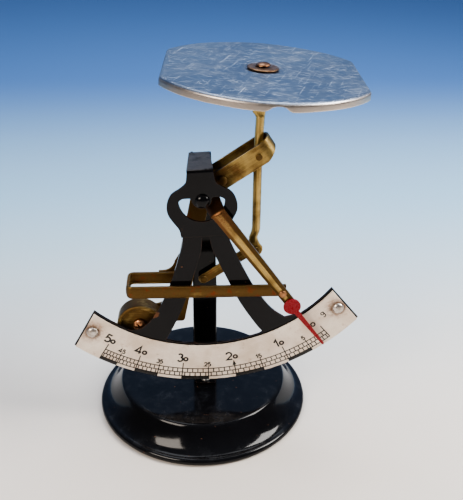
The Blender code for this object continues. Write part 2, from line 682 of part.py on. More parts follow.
def make_brace(beam):
    """A crowned channel bent into a long U: front bar, turn and rear bar."""
    rear_end = turned_by([(0, BRACE_RIVET_S)], PENDULUM_REST)[0][0] + 3.0
    corner = [(BRACE_RIGHT, BRACE_FRONT, BRACE_Z), (BRACE_LEFT, BRACE_FRONT, BRACE_Z),
              (BRACE_LEFT, BRACE_BACK, BRACE_Z + BRACE_RISE),
              (rear_end, BRACE_BACK, BRACE_Z + BRACE_RISE)]
    path = rounded_path(corner, BRACE_BEND, 8)
    section = channel(BRACE_WIDTH, 1.2, 0.25)
    bm = sweep(path, (0, 0, -1), lambda i: section)
    bar = add("brace_bar", bm, DARK_BRASS, beam)
    x, z = along_pointer(BRACE_RIVET_AT)
    drill(bar, (x, BRACE_FRONT, z), (0, 1, 0), 1.0 + GAP, 4)
    rear_x, rear_z = turned_by([(0, BRACE_RIVET_S)], PENDULUM_REST)[0]
    drill(bar, (rear_x, BRACE_BACK, rear_z), (0, 1, 0), 1.0 + GAP, 4)

    front = POINTER_FRONT - 0.5 - GAP
    stud = rivet((x, front, z), 1.6, 0.6, 1.0, BRACE_FRONT + STRIP_T + GAP - front, 1.5, 0.4)
    add("brace_rivet_front", stud, COPPER, beam)
    seat = BRACE_BACK - STRIP_T - 0.1 - GAP
    stud = rivet((rear_x, seat, rear_z), 1.5, 0.5, 1.0, ARM_FRONT + ARM_T + GAP - seat, 1.6, 0.6)
    add("brace_rivet_back", stud, COPPER, beam)


def make_pointer(beam):
    """The channelled arm comes forward through the window; the red pointer is on its end."""
    hub, front = POINTER_HUB, POINTER_FRONT
    corners = [(-4.4, hub), (2.9, hub), (6.4, front), (POINTER_END, front)]
    points = []
    for s, y in corners:
        x, z = along_pointer(s)
        points.append((x, y, z))
    path = rounded_path(points, 1.4, 5)
    side = along_pointer(0, 1)
    side = (side[0], 0, side[1])
    heading = Vector((along_pointer(1)[0] - along_pointer(0)[0], 0,
                      along_pointer(1)[1] - along_pointer(0)[1]))
    start = Vector((along_pointer(0)[0], 0, along_pointer(0)[1]))

    def section(i):
        s = (path[i] - start).dot(heading)
        hub_part = min(1.0, max(0.0, (3.6 - s) / 1.4))
        arm_part = min(1.0, max(0.0, (s - 4.0) / 4.0))
        taper = 1.0 - 0.12 * max(0.0, s - 8.0) / POINTER_END
        flare = POINTER_FLARE * min(1.0, max(0.0, (9.5 - s) / 4.0)) * (1 - hub_part)
        width = POINTER_WIDTH * taper + 4.2 * hub_part + flare
        depth = 0.75 + 0.75 * arm_part
        return channel(width, depth, 0.1 + 0.5 * arm_part, -2.1 * hub_part - flare / 2)

    bm = sweep(path, side, section)
    arm = add("pointer_arm", bm, BRASS, beam)
    drill(arm, (0, hub, 0), (0, 1, 0), SPINDLE_R + GAP, 5)
    x, z = along_pointer(BRACE_RIVET_AT)
    drill(arm, (x, front, z), (0, 1, 0), 1.0 + GAP, 5)

    steps = 10
    needle_start = DISC_AT + 3.3
    half_start, half_tip = 1.15, 0.55
    flank = [(needle_start + (NEEDLE_TIP - 0.8 - needle_start) * i / steps,
              half_start + (half_tip - half_start) * i / steps) for i in range(steps + 1)]
    disc = [(DISC_AT - DISC_R * math.cos(math.radians(a)), DISC_R * math.sin(math.radians(a)))
            for a in range(0, 160, 12)]
    half = disc + flank + [(NEEDLE_TIP, 0.0)]
    outline = half + [(s, -n) for s, n in reversed(half[1:-1])]
    loop = [along_pointer(s, POINTER_OFFSET + n) for s, n in outline]
    bm = plate([loop], POINTER_FRONT - 0.5 - GAP - 0.6, 0.6)
    drop = 2.6
    for vert in bm.verts:
        s = (vert.co / MM - start).dot(heading)
        share = min(1.0, max(0.0, (s - needle_start) / (NEEDLE_TIP - needle_start)))
        vert.co.y += drop * share * MM
    add("pointer", bm, RED, beam)


def make_weight(beam):
    x, z = WEIGHT_AT
    long = WEIGHT_BACK - WEIGHT_FRONT
    r = WEIGHT_R
    hole = 1.5 + GAP
    profile = [(hole, long), (r - 0.4, long), (r, long - 0.4), (r, 0.7), (r - 0.25, 0.2),
               (r - 0.7, 0.0), (r - 1.2, 0.2), (r - 1.5, 0.9), (r - 3.4, 1.3), (3.6, 1.4), (hole, 1.4)]
    add("weight_body", turn(profile, (x, WEIGHT_FRONT, z), (0, 1, 0), 32), DARK_BRASS, beam)
    seat = WEIGHT_FRONT + 1.4 - GAP
    tail = ARM_FRONT + ARM_T + GAP
    head = [(2.8, 0), (2.8, 0.8), (2.2, 1.3), (1.1, 1.6), (0, 1.7)]
    length = tail - seat
    shank = [(0, -length - 1.5), (2.4, -length - 1.5), (2.4, -length), (1.5, -length), (1.5, 0)]
    bm = turn(shank + head, (x, seat, z), (0, -1, 0), 18)
    screw = add("weight_screw", bm, COPPER, beam)
    slot = bmesh.new()
    bmesh.ops.create_cube(slot, size=1.0)
    bmesh.ops.scale(slot, verts=slot.verts[:], vec=(7 * MM, 1.6 * MM, 0.8 * MM))
    mesh = bpy.data.meshes.new("slot")
    slot.to_mesh(mesh)
    slot.free()
    cutter = bpy.data.objects.new("slot", mesh)
    cutter.location = Vector((x, seat - 1.7, z)) * MM
    cutter.rotation_euler = (0, math.radians(55), 0)
    cutter.parent = beam
    cutter.hide_render = True
    cutter.display_type = "WIRE"
    bpy.context.collection.objects.link(cutter)
    cut = screw.modifiers.new("slot", "BOOLEAN")
    cut.solver = "EXACT"
    cut.object = cutter


# ---- rod, pan and link ----------------------------------------------------------------------

def make_rod(rod):
    """A round rod with a flattened head and, below a crank, a flat eye.

    A station is (x, y, z, half-width, half-depth, shift to the side, squareness)."""
    eye_y = LINK_FRONT - GAP - 0.8
    low = -LINK_DROP
    side = LINK_SIDE
    lean = ROD_HEAD_SIDE / ROD_TOP
    mid, r = BOX_MID, ROD_R
    head = [(z * lean, mid, z, *shape) for z, shape in (
        (ROD_TOP, (2.3, 1.3, -0.5, 0.7)), (24.0, (2.5, 1.3, -0.6, 0.75)),
        (16.2, (2.5, 1.35, -0.7, 0.8)), (15.0, (2.0, 1.6, -0.2, 0.95)),
        (14.0, (r, r, 0, 1.0)), (4.0, (r, r, 0, 1.0)))]
    shaft = [(0.1, mid, -4.0, r, r, 0, 1.0), (0.3, mid, -32.5, r, r, 0, 1.0),
             (0.1, mid + 0.3, -34.5, r, r, 0, 1.0)]
    crank = [(side - 1.2, mid + 1.6, -37.5, 1.8, 1.4, 0, 0.9),
             (side - 1.0, eye_y - 0.4, -39.9, 2.0, 1.0, 0, 0.8)]
    eye = [(side - 0.5, eye_y, low + 2.6, 2.4, 0.7, 0, 0.7),
           (side, eye_y, low + 1.4, 2.9, 0.65, 0, 0.6), (side, eye_y, low, EYE_R, 0.65, 0, 0.5),
           (side, eye_y, low - 1.6, 2.7, 0.65, 0, 0.5), (side, eye_y, low - 2.6, 1.7, 0.6, 0, 0.6),
           (side, eye_y, low - 3.0, 0.8, 0.5, 0, 0.8)]
    bm = bmesh.new()
    rings = []
    for x, y, z, half, deep, shift, square in head + shaft + crank + eye:
        rings.append([bm.verts.new(Vector((x + u, y + v, z)) * MM)
                      for u, v in oval(half, deep, shift, 16, square)])
    skin(bm, rings)
    bar = add("pan_rod", bm, BRASS, rod)
    drill(bar, (0, mid, 0), (0, 1, 0), PIN_R + 0.25, 8)
    drill(bar, (side, eye_y, low), (0, 1, 0), TRUNNION_R + GAP, 4)
    drill(bar, (ROD_HEAD_SIDE - 0.3, mid, ROD_TOP), (0, 0, 1), 0.8 + GAP, 8)


def pan_radius(angle):
    """Distance from the pan's middle to its edge: a circle with a flat at each side."""
    return min(PAN_R, PAN_FLAT / max(abs(math.cos(angle)), 1e-6))


def make_pan(rod):
    notch_middle = math.radians(-90 + 4.5)
    notch_half = PAN_NOTCH / PAN_R
    count = 64
    angles = [2 * math.pi * i / count - math.pi for i in range(count)]
    angles = [a for a in angles if abs(a - notch_middle) > notch_half * 1.05]
    angles += [notch_middle + notch_half * k / 5 for k in range(-5, 6)]
    angles.sort()

    def rim_depth(angle):
        share = abs(angle - notch_middle) / notch_half
        if share >= 1:
            return PAN_RIM
        return PAN_RIM - 1.9 * math.sqrt(1 - share ** 2)

    def edge_ring(inset, fraction, drop=0.0):
        return [((pan_radius(a) - inset) * math.cos(a), (pan_radius(a) - inset) * math.sin(a),
                 -drop - fraction * (rim_depth(a) - 1.2)) for a in angles]

    def round_ring(radius, z):
        return [(radius * math.cos(a), radius * math.sin(a), z) for a in angles]

    t, deep = PAN_T, PAN_DIMPLE
    rings = [round_ring(2.2, -deep), round_ring(6.4, -deep), round_ring(7.6, -deep * 0.3),
             round_ring(8.6, 0.0),
             edge_ring(2.2, 0), edge_ring(0.9, 0, 0.15), edge_ring(0.2, 0, 0.6),
             edge_ring(0.0, 0, 1.2), edge_ring(0.0, 1.0, 1.2), edge_ring(t, 1.0, 1.2),
             edge_ring(t + 0.1, 0, 1.5), edge_ring(1.4 + t, 0, t), round_ring(8.4, -t),
             round_ring(6.8, -deep - t), round_ring(2.2, -deep - t)]
    stance = (Matrix.Rotation(math.radians(PAN_NOD), 3, "X")
              @ Matrix.Rotation(math.radians(PAN_TILT), 3, "Y")
              @ Matrix.Rotation(math.radians(PAN_TURN), 3, "Z"))
    middle = Vector((ROD_HEAD_SIDE - 0.3, BOX_MID, ROD_TOP + 0.55 + deep + t))
    bm = bmesh.new()
    verts = [[bm.verts.new((stance @ Vector(point) + middle) * MM) for point in ring]
             for ring in rings]
    skin(bm, verts, closed=True)
    add("pan", bm, ALUMINIUM, rod)

    axis = stance @ Vector((0, 0, 1))
    floor = middle - axis * deep
    washer = [(1.6, 0.35), (1.6, 0.95), (5.7, 0.95), (6.0, 0.65), (6.0, 0.35)]
    add("pan_washer", turn(washer, floor, axis, 20), DARK_BRASS, rod)
    screw = [(0, 1.25 - 5.6), (0.8, 1.25 - 5.6), (0.8, 1.25)] + [
        (r, h + 1.25) for r, h in dome(2.85, 1.3)]
    add("pan_screw", turn(screw, floor, (0, 0, 1), 18), STEEL, rod)


def make_link(link):
    x, z = along_lever(LEVER)
    outline = round_bar((0, 0), (x, z), LINK_HALF)
    holes = [circle((0, 0), TRUNNION_R + GAP, 16), circle((x, z), TRUNNION_R + GAP, 16)]
    add("lower_link", plate([outline] + holes, LINK_FRONT, LINK_T), BRASS, link)
    head = LINK_FRONT - 2 * GAP - 1.6
    pin = rivet((x, head, z), 1.6, 0.5, TRUNNION_R,
                LINK_FRONT + LINK_T + GAP - head, 1.5, 0.4)
    add("link_pin", pin, DARK_BRASS, link)


def main():
    for obj in list(bpy.data.objects):
        bpy.data.objects.remove(obj, do_unlink=True)
    right = polar(DIAL_R_OUT, DIAL_MIDDLE + DIAL_HALF_OUT)[0]
    left = polar(DIAL_R_OUT, DIAL_MIDDLE - DIAL_HALF_OUT)[0]
    front = BOX_MID - PAN_R
    stand = axis_empty("balance", (-(left + right) / 2, -(front + FOOT_R) / 2, 0))
    make_foot(stand)
    make_foot_fasteners(stand)
    make_post(stand)
    make_front_plate(stand)
    make_bracket(stand)
    make_stand_fasteners(stand)
    beam = axis_empty("beam_axis", (0, 0, PIVOT_Z), stand)
    make_spindle(beam)
    make_lever_box(beam)
    make_pendulum(beam)
    make_brace(beam)
    make_pointer(beam)
    make_weight(beam)
    pin_x, pin_z = along_lever(LEVER)
    rod = axis_empty("rod_axis", (pin_x, 0, pin_z), beam)
    make_rod(rod)
    make_pan(rod)
    make_link(axis_empty("link_axis", (LINK_SIDE, 0, PIVOT_Z - LINK_DROP), stand))


main()
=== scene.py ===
"""Looks of the letter balance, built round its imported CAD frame.

The helpers take millimetres and make metres. X is right, -Y is the front, and Z is up.
"""
import json
import math

import bmesh
import bpy
from mathutils import Matrix, Vector, noise


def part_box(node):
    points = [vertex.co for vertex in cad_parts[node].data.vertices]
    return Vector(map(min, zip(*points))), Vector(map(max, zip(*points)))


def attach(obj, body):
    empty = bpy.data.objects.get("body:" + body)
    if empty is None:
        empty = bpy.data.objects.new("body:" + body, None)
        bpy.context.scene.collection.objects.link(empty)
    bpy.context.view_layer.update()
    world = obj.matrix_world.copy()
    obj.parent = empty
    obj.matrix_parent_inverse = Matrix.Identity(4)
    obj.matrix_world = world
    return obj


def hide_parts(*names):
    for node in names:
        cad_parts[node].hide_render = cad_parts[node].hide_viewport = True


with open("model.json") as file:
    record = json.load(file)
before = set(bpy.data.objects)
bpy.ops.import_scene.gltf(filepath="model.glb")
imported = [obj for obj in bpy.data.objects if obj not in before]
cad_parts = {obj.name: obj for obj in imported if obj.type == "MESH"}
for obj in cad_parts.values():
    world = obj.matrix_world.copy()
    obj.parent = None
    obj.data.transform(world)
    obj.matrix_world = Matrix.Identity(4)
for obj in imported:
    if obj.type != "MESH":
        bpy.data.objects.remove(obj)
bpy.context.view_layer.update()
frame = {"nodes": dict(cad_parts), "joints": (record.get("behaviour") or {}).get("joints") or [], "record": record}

MM = 0.001
MIX_A, MIX_B, MIX_RESULT = 6, 7, 2     # the colour sockets of a Mix node
JOINTS = {joint["name"]: Vector(joint["pos_m"]) / MM for joint in frame["joints"]}
PIVOT = JOINTS["beam_pivot"]
MOUNTS = {mount["name"]: mount for mount in frame["record"]["mounts"]}


def box(node):
    """A CAD node's lowest corner, highest corner and middle, in millimetres."""
    low, high = (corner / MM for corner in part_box(node))
    return low, high, (low + high) / 2


# ---- materials ------------------------------------------------------------------------------

class Finish:
    """One Principled material, with the node wiring that its maker asks for."""

    def __init__(self, name, seed):
        self.material = bpy.data.materials.new(name)
        self.material.use_nodes = True
        self.tree = self.material.node_tree
        self.shader = self.tree.nodes["Principled BSDF"]
        self.seed = seed
        self.place = self.put("ShaderNodeTexCoord").outputs["Object"]
        self.normal = self.put("ShaderNodeNewGeometry").outputs["Normal"]

    def put(self, kind, inputs=None, **settings):
        """Add a node; an input takes a value, or a socket to link."""
        made = self.tree.nodes.new(kind)
        for key, value in settings.items():
            setattr(made, key, value)
        for key, value in (inputs or {}).items():
            if isinstance(value, bpy.types.NodeSocket):
                self.tree.links.new(value, made.inputs[key])
            else:
                made.inputs[key].default_value = value
        return made

    def noise(self, size, detail=3.0, rough=0.55, turn=0.0, stretch=(1, 1, 1), shift=0.0):
        """Noise with features of about this size in mm; turn is about Y, in degrees."""
        scale = [part / (size * MM) for part in stretch]
        move = (self.seed + shift, self.seed * 0.7 - shift, self.seed * 1.3)
        spun = self.put("ShaderNodeMapping", {0: self.place, "Rotation": (0, math.radians(turn), 0)})
        placed = self.put("ShaderNodeMapping", {0: spun.outputs[0], "Scale": scale, "Location": move})
        made = self.put("ShaderNodeTexNoise", {"Vector": placed.outputs[0], "Scale": 1.0,
                                               "Detail": detail, "Roughness": rough})
        return made.outputs["Fac"]

    def span(self, value, low, high, start=0.0, end=1.0):
        """Map low..high to start..end with soft ends."""
        return self.put("ShaderNodeMapRange", {"Value": value, "From Min": low, "From Max": high,
                                               "To Min": start, "To Max": end},
                        interpolation_type="SMOOTHSTEP").outputs[0]

    def calc(self, kind, a, b):
        """One operation on two values, held within 0..1."""
        return self.put("ShaderNodeMath", {0: a, 1: b}, operation=kind, use_clamp=True).outputs[0]

    def mix(self, share, a, b):
        """Blend two colours."""
        colours = {MIX_A: a, MIX_B: b}
        colours = {key: (*c, 1.0) if isinstance(c, tuple) else c for key, c in colours.items()}
        return self.put("ShaderNodeMix", {0: share, **colours}, data_type="RGBA").outputs[MIX_RESULT]

    def edges(self, radius, low=0.02, high=0.2):
        """Strongest along outer edges, where paint and tarnish rub off."""
        rounded = self.put("ShaderNodeBevel", {"Radius": radius * MM}, samples=4).outputs[0]
        same = self.put("ShaderNodeVectorMath", {0: rounded, 1: self.normal}, operation="DOT_PRODUCT")
        return self.span(self.calc("SUBTRACT", 1.0, same.outputs["Value"]), low, high)

    def axis(self, vector, name):
        """One component of a vector."""
        return self.put("ShaderNodeSeparateXYZ", {0: vector}).outputs[name]

    def near(self, point, low, high):
        """1 within low mm of the point, and 0 beyond high."""
        away = self.put("ShaderNodeVectorMath", {0: self.place, 1: Vector(point) * MM},
                        operation="DISTANCE").outputs["Value"]
        return self.span(away, low * MM, high * MM, 1.0, 0.0)

    def scratches(self, turn, length, width, amount, shift=0.0):
        """Thin straight scratches that run at this angle in the XZ plane."""
        streak = self.noise(width, 1.0, 0.4, turn, (width / length, 1, 1), shift)
        return self.span(streak, 1.0 - amount, 1.06 - amount)

    def done(self, colour, roughness, height, depth, metallic=0.0, **sockets):
        """Wire the shader up; height is the surface's relief, and depth its size in mm."""
        values = {"Base Color": colour, "Roughness": roughness, "Metallic": metallic, **sockets}
        for key, value in values.items():
            socket = self.shader.inputs[key.replace("_", " ")]
            if isinstance(value, bpy.types.NodeSocket):
                self.tree.links.new(value, socket)
            else:
                socket.default_value = (*value, 1.0) if isinstance(value, tuple) else value
        bump = self.put("ShaderNodeBump", {"Height": height, "Distance": depth * MM, "Strength": 1.0})
        self.tree.links.new(bump.outputs[0], self.shader.inputs["Normal"])
        return self.material


def enamel(name, seed, chips, dust, scuffed_above=None, patches=()):
    """Stove enamel: near black and glossy, with chips down to rusty steel along its edges.

    What faces up above the scuffed height is greyed, and each patch is a chip at a place."""
    f = Finish(name, seed)
    broad, fine, peel = f.noise(14), f.noise(0.9, 5, 0.7), f.noise(1.6, 2)
    paint = f.mix(broad, (0.0025, 0.0025, 0.003), (0.006, 0.006, 0.0075))
    up = f.span(f.axis(f.normal, "Z"), 0.5, 1.0)
    dirt = f.calc("MULTIPLY", up, f.span(f.noise(6, 5, 0.7, shift=2.0), 0.45, 0.75, 0.0, dust))
    paint = f.mix(f.calc("MULTIPLY", dirt, 0.35), paint, (0.045, 0.048, 0.055))
    rough = f.calc("ADD", f.span(fine, 0.3, 0.8, 0.07, 0.16), f.calc("MULTIPLY", dirt, 0.22))
    edge = f.edges(0.40)
    thin = f.calc("MULTIPLY", edge, f.span(f.noise(7, 4, 0.6, shift=3.0), 0.30, 0.60, 0.15, 0.75))
    paint = f.mix(thin, paint, (0.075, 0.048, 0.034))
    worn = f.calc("MULTIPLY", edge, f.span(f.noise(2.6, 4, 0.65, shift=5.0), 0.50, 0.60))
    spots = f.span(f.noise(2.2, 3, 0.6, shift=9.0), 0.75 - 0.05 * chips, 0.78 - 0.05 * chips)
    bare = f.calc("MAXIMUM", f.calc("MULTIPLY", worn, chips), spots)
    for place, size in patches:
        inside = f.near(place, 0.0, size * 2)
        tear = f.span(f.noise(1.4, 4, 0.7), 0.3, 0.7, -0.4, 0.1)
        bare = f.calc("MAXIMUM", bare, f.span(f.calc("ADD", inside, tear), 0.42, 0.50))
    rust = f.mix(fine, (0.055, 0.024, 0.012), (0.17, 0.075, 0.035))
    colour = f.mix(bare, paint, rust)
    rough = f.calc("MAXIMUM", rough, f.calc("MULTIPLY", bare, 0.75))
    if scuffed_above is not None:
        height = f.axis(f.place, "Z")
        on_top = f.calc("MULTIPLY", f.span(f.axis(f.normal, "Z"), 0.75, 0.95),
                       f.span(height, (scuffed_above - 2) * MM, (scuffed_above - 1) * MM))
        grey = f.mix(f.noise(2.2, 5, 0.7), (0.045, 0.048, 0.056), (0.16, 0.16, 0.17))
        colour = f.mix(f.calc("MULTIPLY", on_top, f.span(f.noise(5, 4), 0.25, 0.5)), colour, grey)
        rough = f.calc("MAXIMUM", rough, f.calc("MULTIPLY", on_top, 0.55))
    surface = f.calc("SUBTRACT", f.calc("MULTIPLY", peel, 0.14), bare)
    return f.done(colour, rough, surface, 0.045, Specular_IOR_Level=0.22)


def brass(name, seed, tarnish, turn=0.0, red=0.0, polish=0.3, painted_ridge_light=0.0, browner_near=None):
    """Old brass: tarnish from gold to brown, rubbed bright along the edges, drawn lines along it.

    With a ridge, what faces straight to the front keeps a painted highlight, and the slopes beside it get painted
    shade."""
    f = Finish(name, seed)
    patches, specks = f.noise(11, 5, 0.55), f.noise(0.8, 4, 0.7)
    lines = f.noise(0.7, 4, 0.6, turn, (0.02, 1, 1))
    gold = f.mix(lines, (0.36, 0.25, 0.085), (0.52, 0.385, 0.155))
    brown = f.mix(specks, (0.070, 0.040, 0.015), (0.165, 0.100, 0.038))
    dull = f.calc("ADD", f.span(patches, 0.60 - tarnish * 0.5, 0.95 - tarnish * 0.5),
                 f.span(lines, 0.40, 0.65, 0.0, 0.35))
    # Painted light: front-facing faces stay gold as a painted highlight, and faces that turn away go brown as
    # painted shade.
    if painted_ridge_light > 0:
        dull = f.calc("ADD", dull, f.span(f.axis(f.normal, "Y"), -0.995, -0.93, 0.0, painted_ridge_light))
    rubbed = f.calc("MULTIPLY", f.edges(0.40), f.span(specks, 0.2, 0.6, 0.45, 1.0))
    dull = f.calc("SUBTRACT", dull, f.calc("MULTIPLY", rubbed, 0.8))
    colour = f.mix(dull, gold, brown)
    if red > 0:
        stains = f.span(f.noise(4.2, 5, 0.66, shift=3.0), 0.54, 0.68, 0.0, red)
        colour = f.mix(stains, colour, (0.20, 0.050, 0.022))
    # Browner within 6 to 20 mm of the given point.
    if browner_near is not None:
        warm = f.calc("MULTIPLY", f.near(browner_near, 6, 20), f.span(specks, 0.2, 0.7, 0.5, 0.9))
        colour = f.mix(warm, colour, (0.15, 0.066, 0.030))
    rough = f.calc("ADD", f.span(specks, 0.25, 0.8, polish, polish + 0.12), f.calc("MULTIPLY", dull, 0.16))
    surface = f.calc("ADD", f.calc("MULTIPLY", lines, 0.45), f.calc("MULTIPLY", specks, 0.5))
    return f.done(colour, rough, surface, 0.018, 1.0)


def plain_metal(name, light, dark, seed, rust, polish=0.28):
    """A turned or peened fastener: mottled, scratched and spotted with rust."""
    f = Finish(name, seed)
    patches, specks = f.noise(1.8, 5, 0.65), f.noise(0.35, 3, 0.6)
    colour = f.mix(f.span(patches, 0.35, 0.7), light, dark)
    colour = f.mix(f.calc("MULTIPLY", f.span(specks, 0.55, 0.7), 0.5), colour, dark)
    rusty = f.span(f.noise(1.3, 4, 0.7, shift=4.0), 0.62, 0.70, 0.0, rust)
    colour = f.mix(rusty, colour, (0.13, 0.05, 0.02))
    rough = f.span(patches, 0.3, 0.75, polish, polish + 0.22)
    return f.done(colour, rough, f.calc("ADD", specks, patches), 0.02, 1.0)


def aluminium(name, middle):
    """Dull, much-used sheet: fine scratches every way, smears, and rust that has run from the screw; with a
    painted blue reflection in its tone, a painted warm reflection on its rim's sides and a painted highlight along
    its edges.
    """
    f = Finish(name, 3.0)
    flat = f.put("ShaderNodeMapping", {0: f.place, "Rotation": (math.radians(90), 0, 0)}).outputs[0]
    world_place = f.place
    f.place = flat                         # the scratch patterns lie in the pan's own plane
    cuts = f.scratches(12, 30, 0.34, 0.33)
    for turn, shift in ((71, 1.0), (128, 2.0), (155, 3.0), (40, 4.0)):
        cuts = f.calc("MAXIMUM", cuts, f.scratches(turn, 22, 0.30, 0.31, shift))
    f.place = world_place
    smears, cloud, grain = f.noise(7, 8, 0.75, 20, (0.6, 1, 1)), f.noise(26, 4), f.noise(0.45, 3, 0.6)
    # Partly painted reflection: the blue tint of the sheet, its smears and its scratches stands in for a blue
    # backdrop reflected in the pan; the mottling is the metal's own dull tone.
    sheet = f.mix(f.span(cloud, 0.3, 0.7), (0.15, 0.175, 0.225), (0.21, 0.24, 0.29))
    sheet = f.mix(f.span(smears, 0.54, 0.64, 0.0, 0.45), sheet, (0.30, 0.33, 0.37))
    sheet = f.mix(f.calc("MULTIPLY", cuts, 0.8), sheet, (0.60, 0.64, 0.70))
    # Painted reflection: the rim's side faces are tinted warm brown, as if reflecting the floor.
    skirt = f.span(f.axis(f.normal, "Z"), 0.35, 0.8, 0.85, 0.0)
    sheet = f.mix(skirt, sheet, (0.42, 0.36, 0.31))
    # Painted highlight: a bright warm line along the pan's edges and lip.
    sheet = f.mix(f.edges(0.6, 0.01, 0.12), sheet, (0.86, 0.76, 0.66))
    stain = f.calc("MULTIPLY", f.near(middle, 5.6, 9.0), f.span(f.noise(1.6, 4), 0.35, 0.65))
    specks = f.span(f.noise(1.5, 3, 0.7, shift=7.0), 0.72, 0.76, 0.0, 0.7)
    sheet = f.mix(f.calc("MAXIMUM", f.calc("MULTIPLY", stain, 0.7), specks), sheet, (0.15, 0.10, 0.07))
    rough = f.calc("ADD", f.span(smears, 0.35, 0.7, 0.30, 0.44), f.calc("MULTIPLY", cuts, 0.12))
    surface = f.calc("SUBTRACT", f.calc("MULTIPLY", grain, 0.5), cuts)
    return f.done(sheet, rough, surface, 0.016, 1.0)


def cream(name, rivets):
    """The dial's paint: off-white, rubbed and foxed, brown round the rivets, chipped at the rim."""
    f = Finish(name, 5.0)
    cloud, fine = f.noise(11, 6, 0.62), f.noise(0.5, 4, 0.65)
    paint = f.mix(f.span(cloud, 0.3, 0.72), (0.80, 0.70, 0.60), (0.62, 0.50, 0.39))
    paint = f.mix(f.calc("MULTIPLY", f.span(fine, 0.45, 0.75), 0.25), paint, (0.52, 0.41, 0.33))
    lines = f.calc("MAXIMUM", f.scratches(24, 12, 0.10, 0.30), f.scratches(150, 9, 0.10, 0.29, 2.0))
    paint = f.mix(f.calc("MULTIPLY", lines, 0.35), paint, (0.88, 0.84, 0.80))
    foxed = f.span(f.noise(3.2, 6, 0.7, shift=4.0), 0.56, 0.72, 0.0, 0.55)
    paint = f.mix(foxed, paint, (0.42, 0.28, 0.18))
    edge = f.span(f.noise(1.7, 5, 0.7, shift=1.0), 0.30, 0.72)
    for middle in rivets:
        halo = f.calc("MULTIPLY", f.near(middle, 2.6, 7.0), edge)
        paint = f.mix(halo, paint, (0.27, 0.13, 0.06))
        core = f.calc("MULTIPLY", f.near(middle, 2.7, 4.2), f.span(fine, 0.2, 0.7, 0.5, 1.0))
        paint = f.mix(f.calc("MULTIPLY", core, 0.85), paint, (0.12, 0.06, 0.03))
    spots = f.span(f.noise(1.1, 3, 0.7, shift=6.0), 0.73, 0.77, 0.0, 0.8)
    chipped = f.calc("MULTIPLY", f.edges(0.5), f.span(f.noise(1.9, 4, 0.7, shift=8.0), 0.50, 0.58))
    paint = f.mix(f.calc("MAXIMUM", spots, chipped), paint, (0.06, 0.045, 0.035))
    rough = f.span(fine, 0.3, 0.75, 0.30, 0.46)
    surface = f.calc("SUBTRACT", f.calc("MULTIPLY", fine, 0.3), f.calc("MAXIMUM", chipped, lines))
    return f.done(paint, rough, surface, 0.02)


def red_paint(name):
    """The needle's gloss red, thin along its edges."""
    f = Finish(name, 2.0)
    cloud, fine = f.noise(5, 4), f.noise(0.6, 4, 0.65)
    paint = f.mix(cloud, (0.15, 0.001, 0.004), (0.26, 0.003, 0.008))
    worn = f.calc("MULTIPLY", f.edges(0.3), f.span(f.noise(1.6, 4, shift=2.0), 0.52, 0.62))
    paint = f.mix(f.calc("MULTIPLY", worn, 0.8), paint, (0.10, 0.012, 0.012))
    return f.done(paint, f.span(fine, 0.3, 0.8, 0.22, 0.40), fine, 0.012, Specular_IOR_Level=0.3)


def ink(name):
    """The dial's printing, faded in places."""
    f = Finish(name, 7.0)
    fine = f.noise(0.4, 4, 0.7)
    colour = f.mix(f.span(fine, 0.55, 0.75), (0.007, 0.006, 0.006), (0.06, 0.045, 0.035))
    return f.done(colour, f.span(fine, 0.3, 0.7, 0.42, 0.6), fine, 0.008)


# ---- meshes ---------------------------------------------------------------------------------

def arc(centre, radius, start, end, steps):
    """Points on an arc; angles in degrees, counter-clockwise from the first axis."""
    angles = [math.radians(start + (end - start) * i / steps) for i in range(steps + 1)]
    return [(centre[0] + radius * math.cos(a), centre[1] + radius * math.sin(a)) for a in angles]


def polar(radius, degrees_right):
    """(x, z) from the pivot, this many degrees right of straight down."""
    angle = math.radians(degrees_right)
    return radius * math.sin(angle), -radius * math.cos(angle)


def skin(bm, rings, closed):
    """Join rings of equal length with quads, and cap or close the ends."""
    pairs = list(zip(rings, rings[1:]))
    if closed:
        pairs.append((rings[-1], rings[0]))
    for a, b in pairs:
        count = len(a)
        for i in range(count):
            j = (i + 1) % count
            corners = [a[i], a[j], b[j], b[i]]
            corners = [v for k, v in enumerate(corners) if v not in corners[:k]]
            if len(corners) > 2:
                bm.faces.new(corners)
    if not closed:
        for ring in (rings[0], rings[-1]):
            if len(set(ring)) > 2:
                bm.faces.new(ring)


def lathe(profile, centre, along, segments=96):
    """Turn (radius, height) points about an axis; a profile with no point on it is a ring."""
    bm = bmesh.new()
    axis = Vector(along).normalized()
    across = axis.orthogonal().normalized()
    beside = axis.cross(across)
    rings = []
    for radius, height in profile:
        middle = Vector(centre) + axis * height
        if radius == 0:
            rings.append([bm.verts.new(middle * MM)] * segments)
            continue
        ring = []
        for i in range(segments):
            angle = 2 * math.pi * i / segments
            offset = across * math.cos(angle) + beside * math.sin(angle)
            ring.append(bm.verts.new((middle + offset * radius) * MM))
        rings.append(ring)
    skin(bm, rings, closed=profile[0][0] > 0 and profile[-1][0] > 0)
    return bm


def soften(bm, width, angle, segments):
    """Round every edge that is sharper than this angle."""
    bmesh.ops.recalc_face_normals(bm, faces=bm.faces[:])
    sharp = [e for e in bm.edges
             if len(e.link_faces) == 2 and e.calc_face_angle(0.0) > math.radians(angle)]
    bmesh.ops.bevel(bm, geom=sharp, offset=width * MM, offset_type="OFFSET", segments=segments,
                    profile=0.5, affect="EDGES", clamp_overlap=True)
    return bm


def solid_of(node):
    """A CAD node's own shape, with its triangles joined into whole faces."""
    bm = bmesh.new()
    bm.from_mesh(frame["nodes"][node].data)
    bmesh.ops.remove_doubles(bm, verts=bm.verts[:], dist=2e-6)
    bmesh.ops.dissolve_limit(bm, angle_limit=math.radians(0.6), verts=bm.verts[:], edges=bm.edges[:])
    return bm


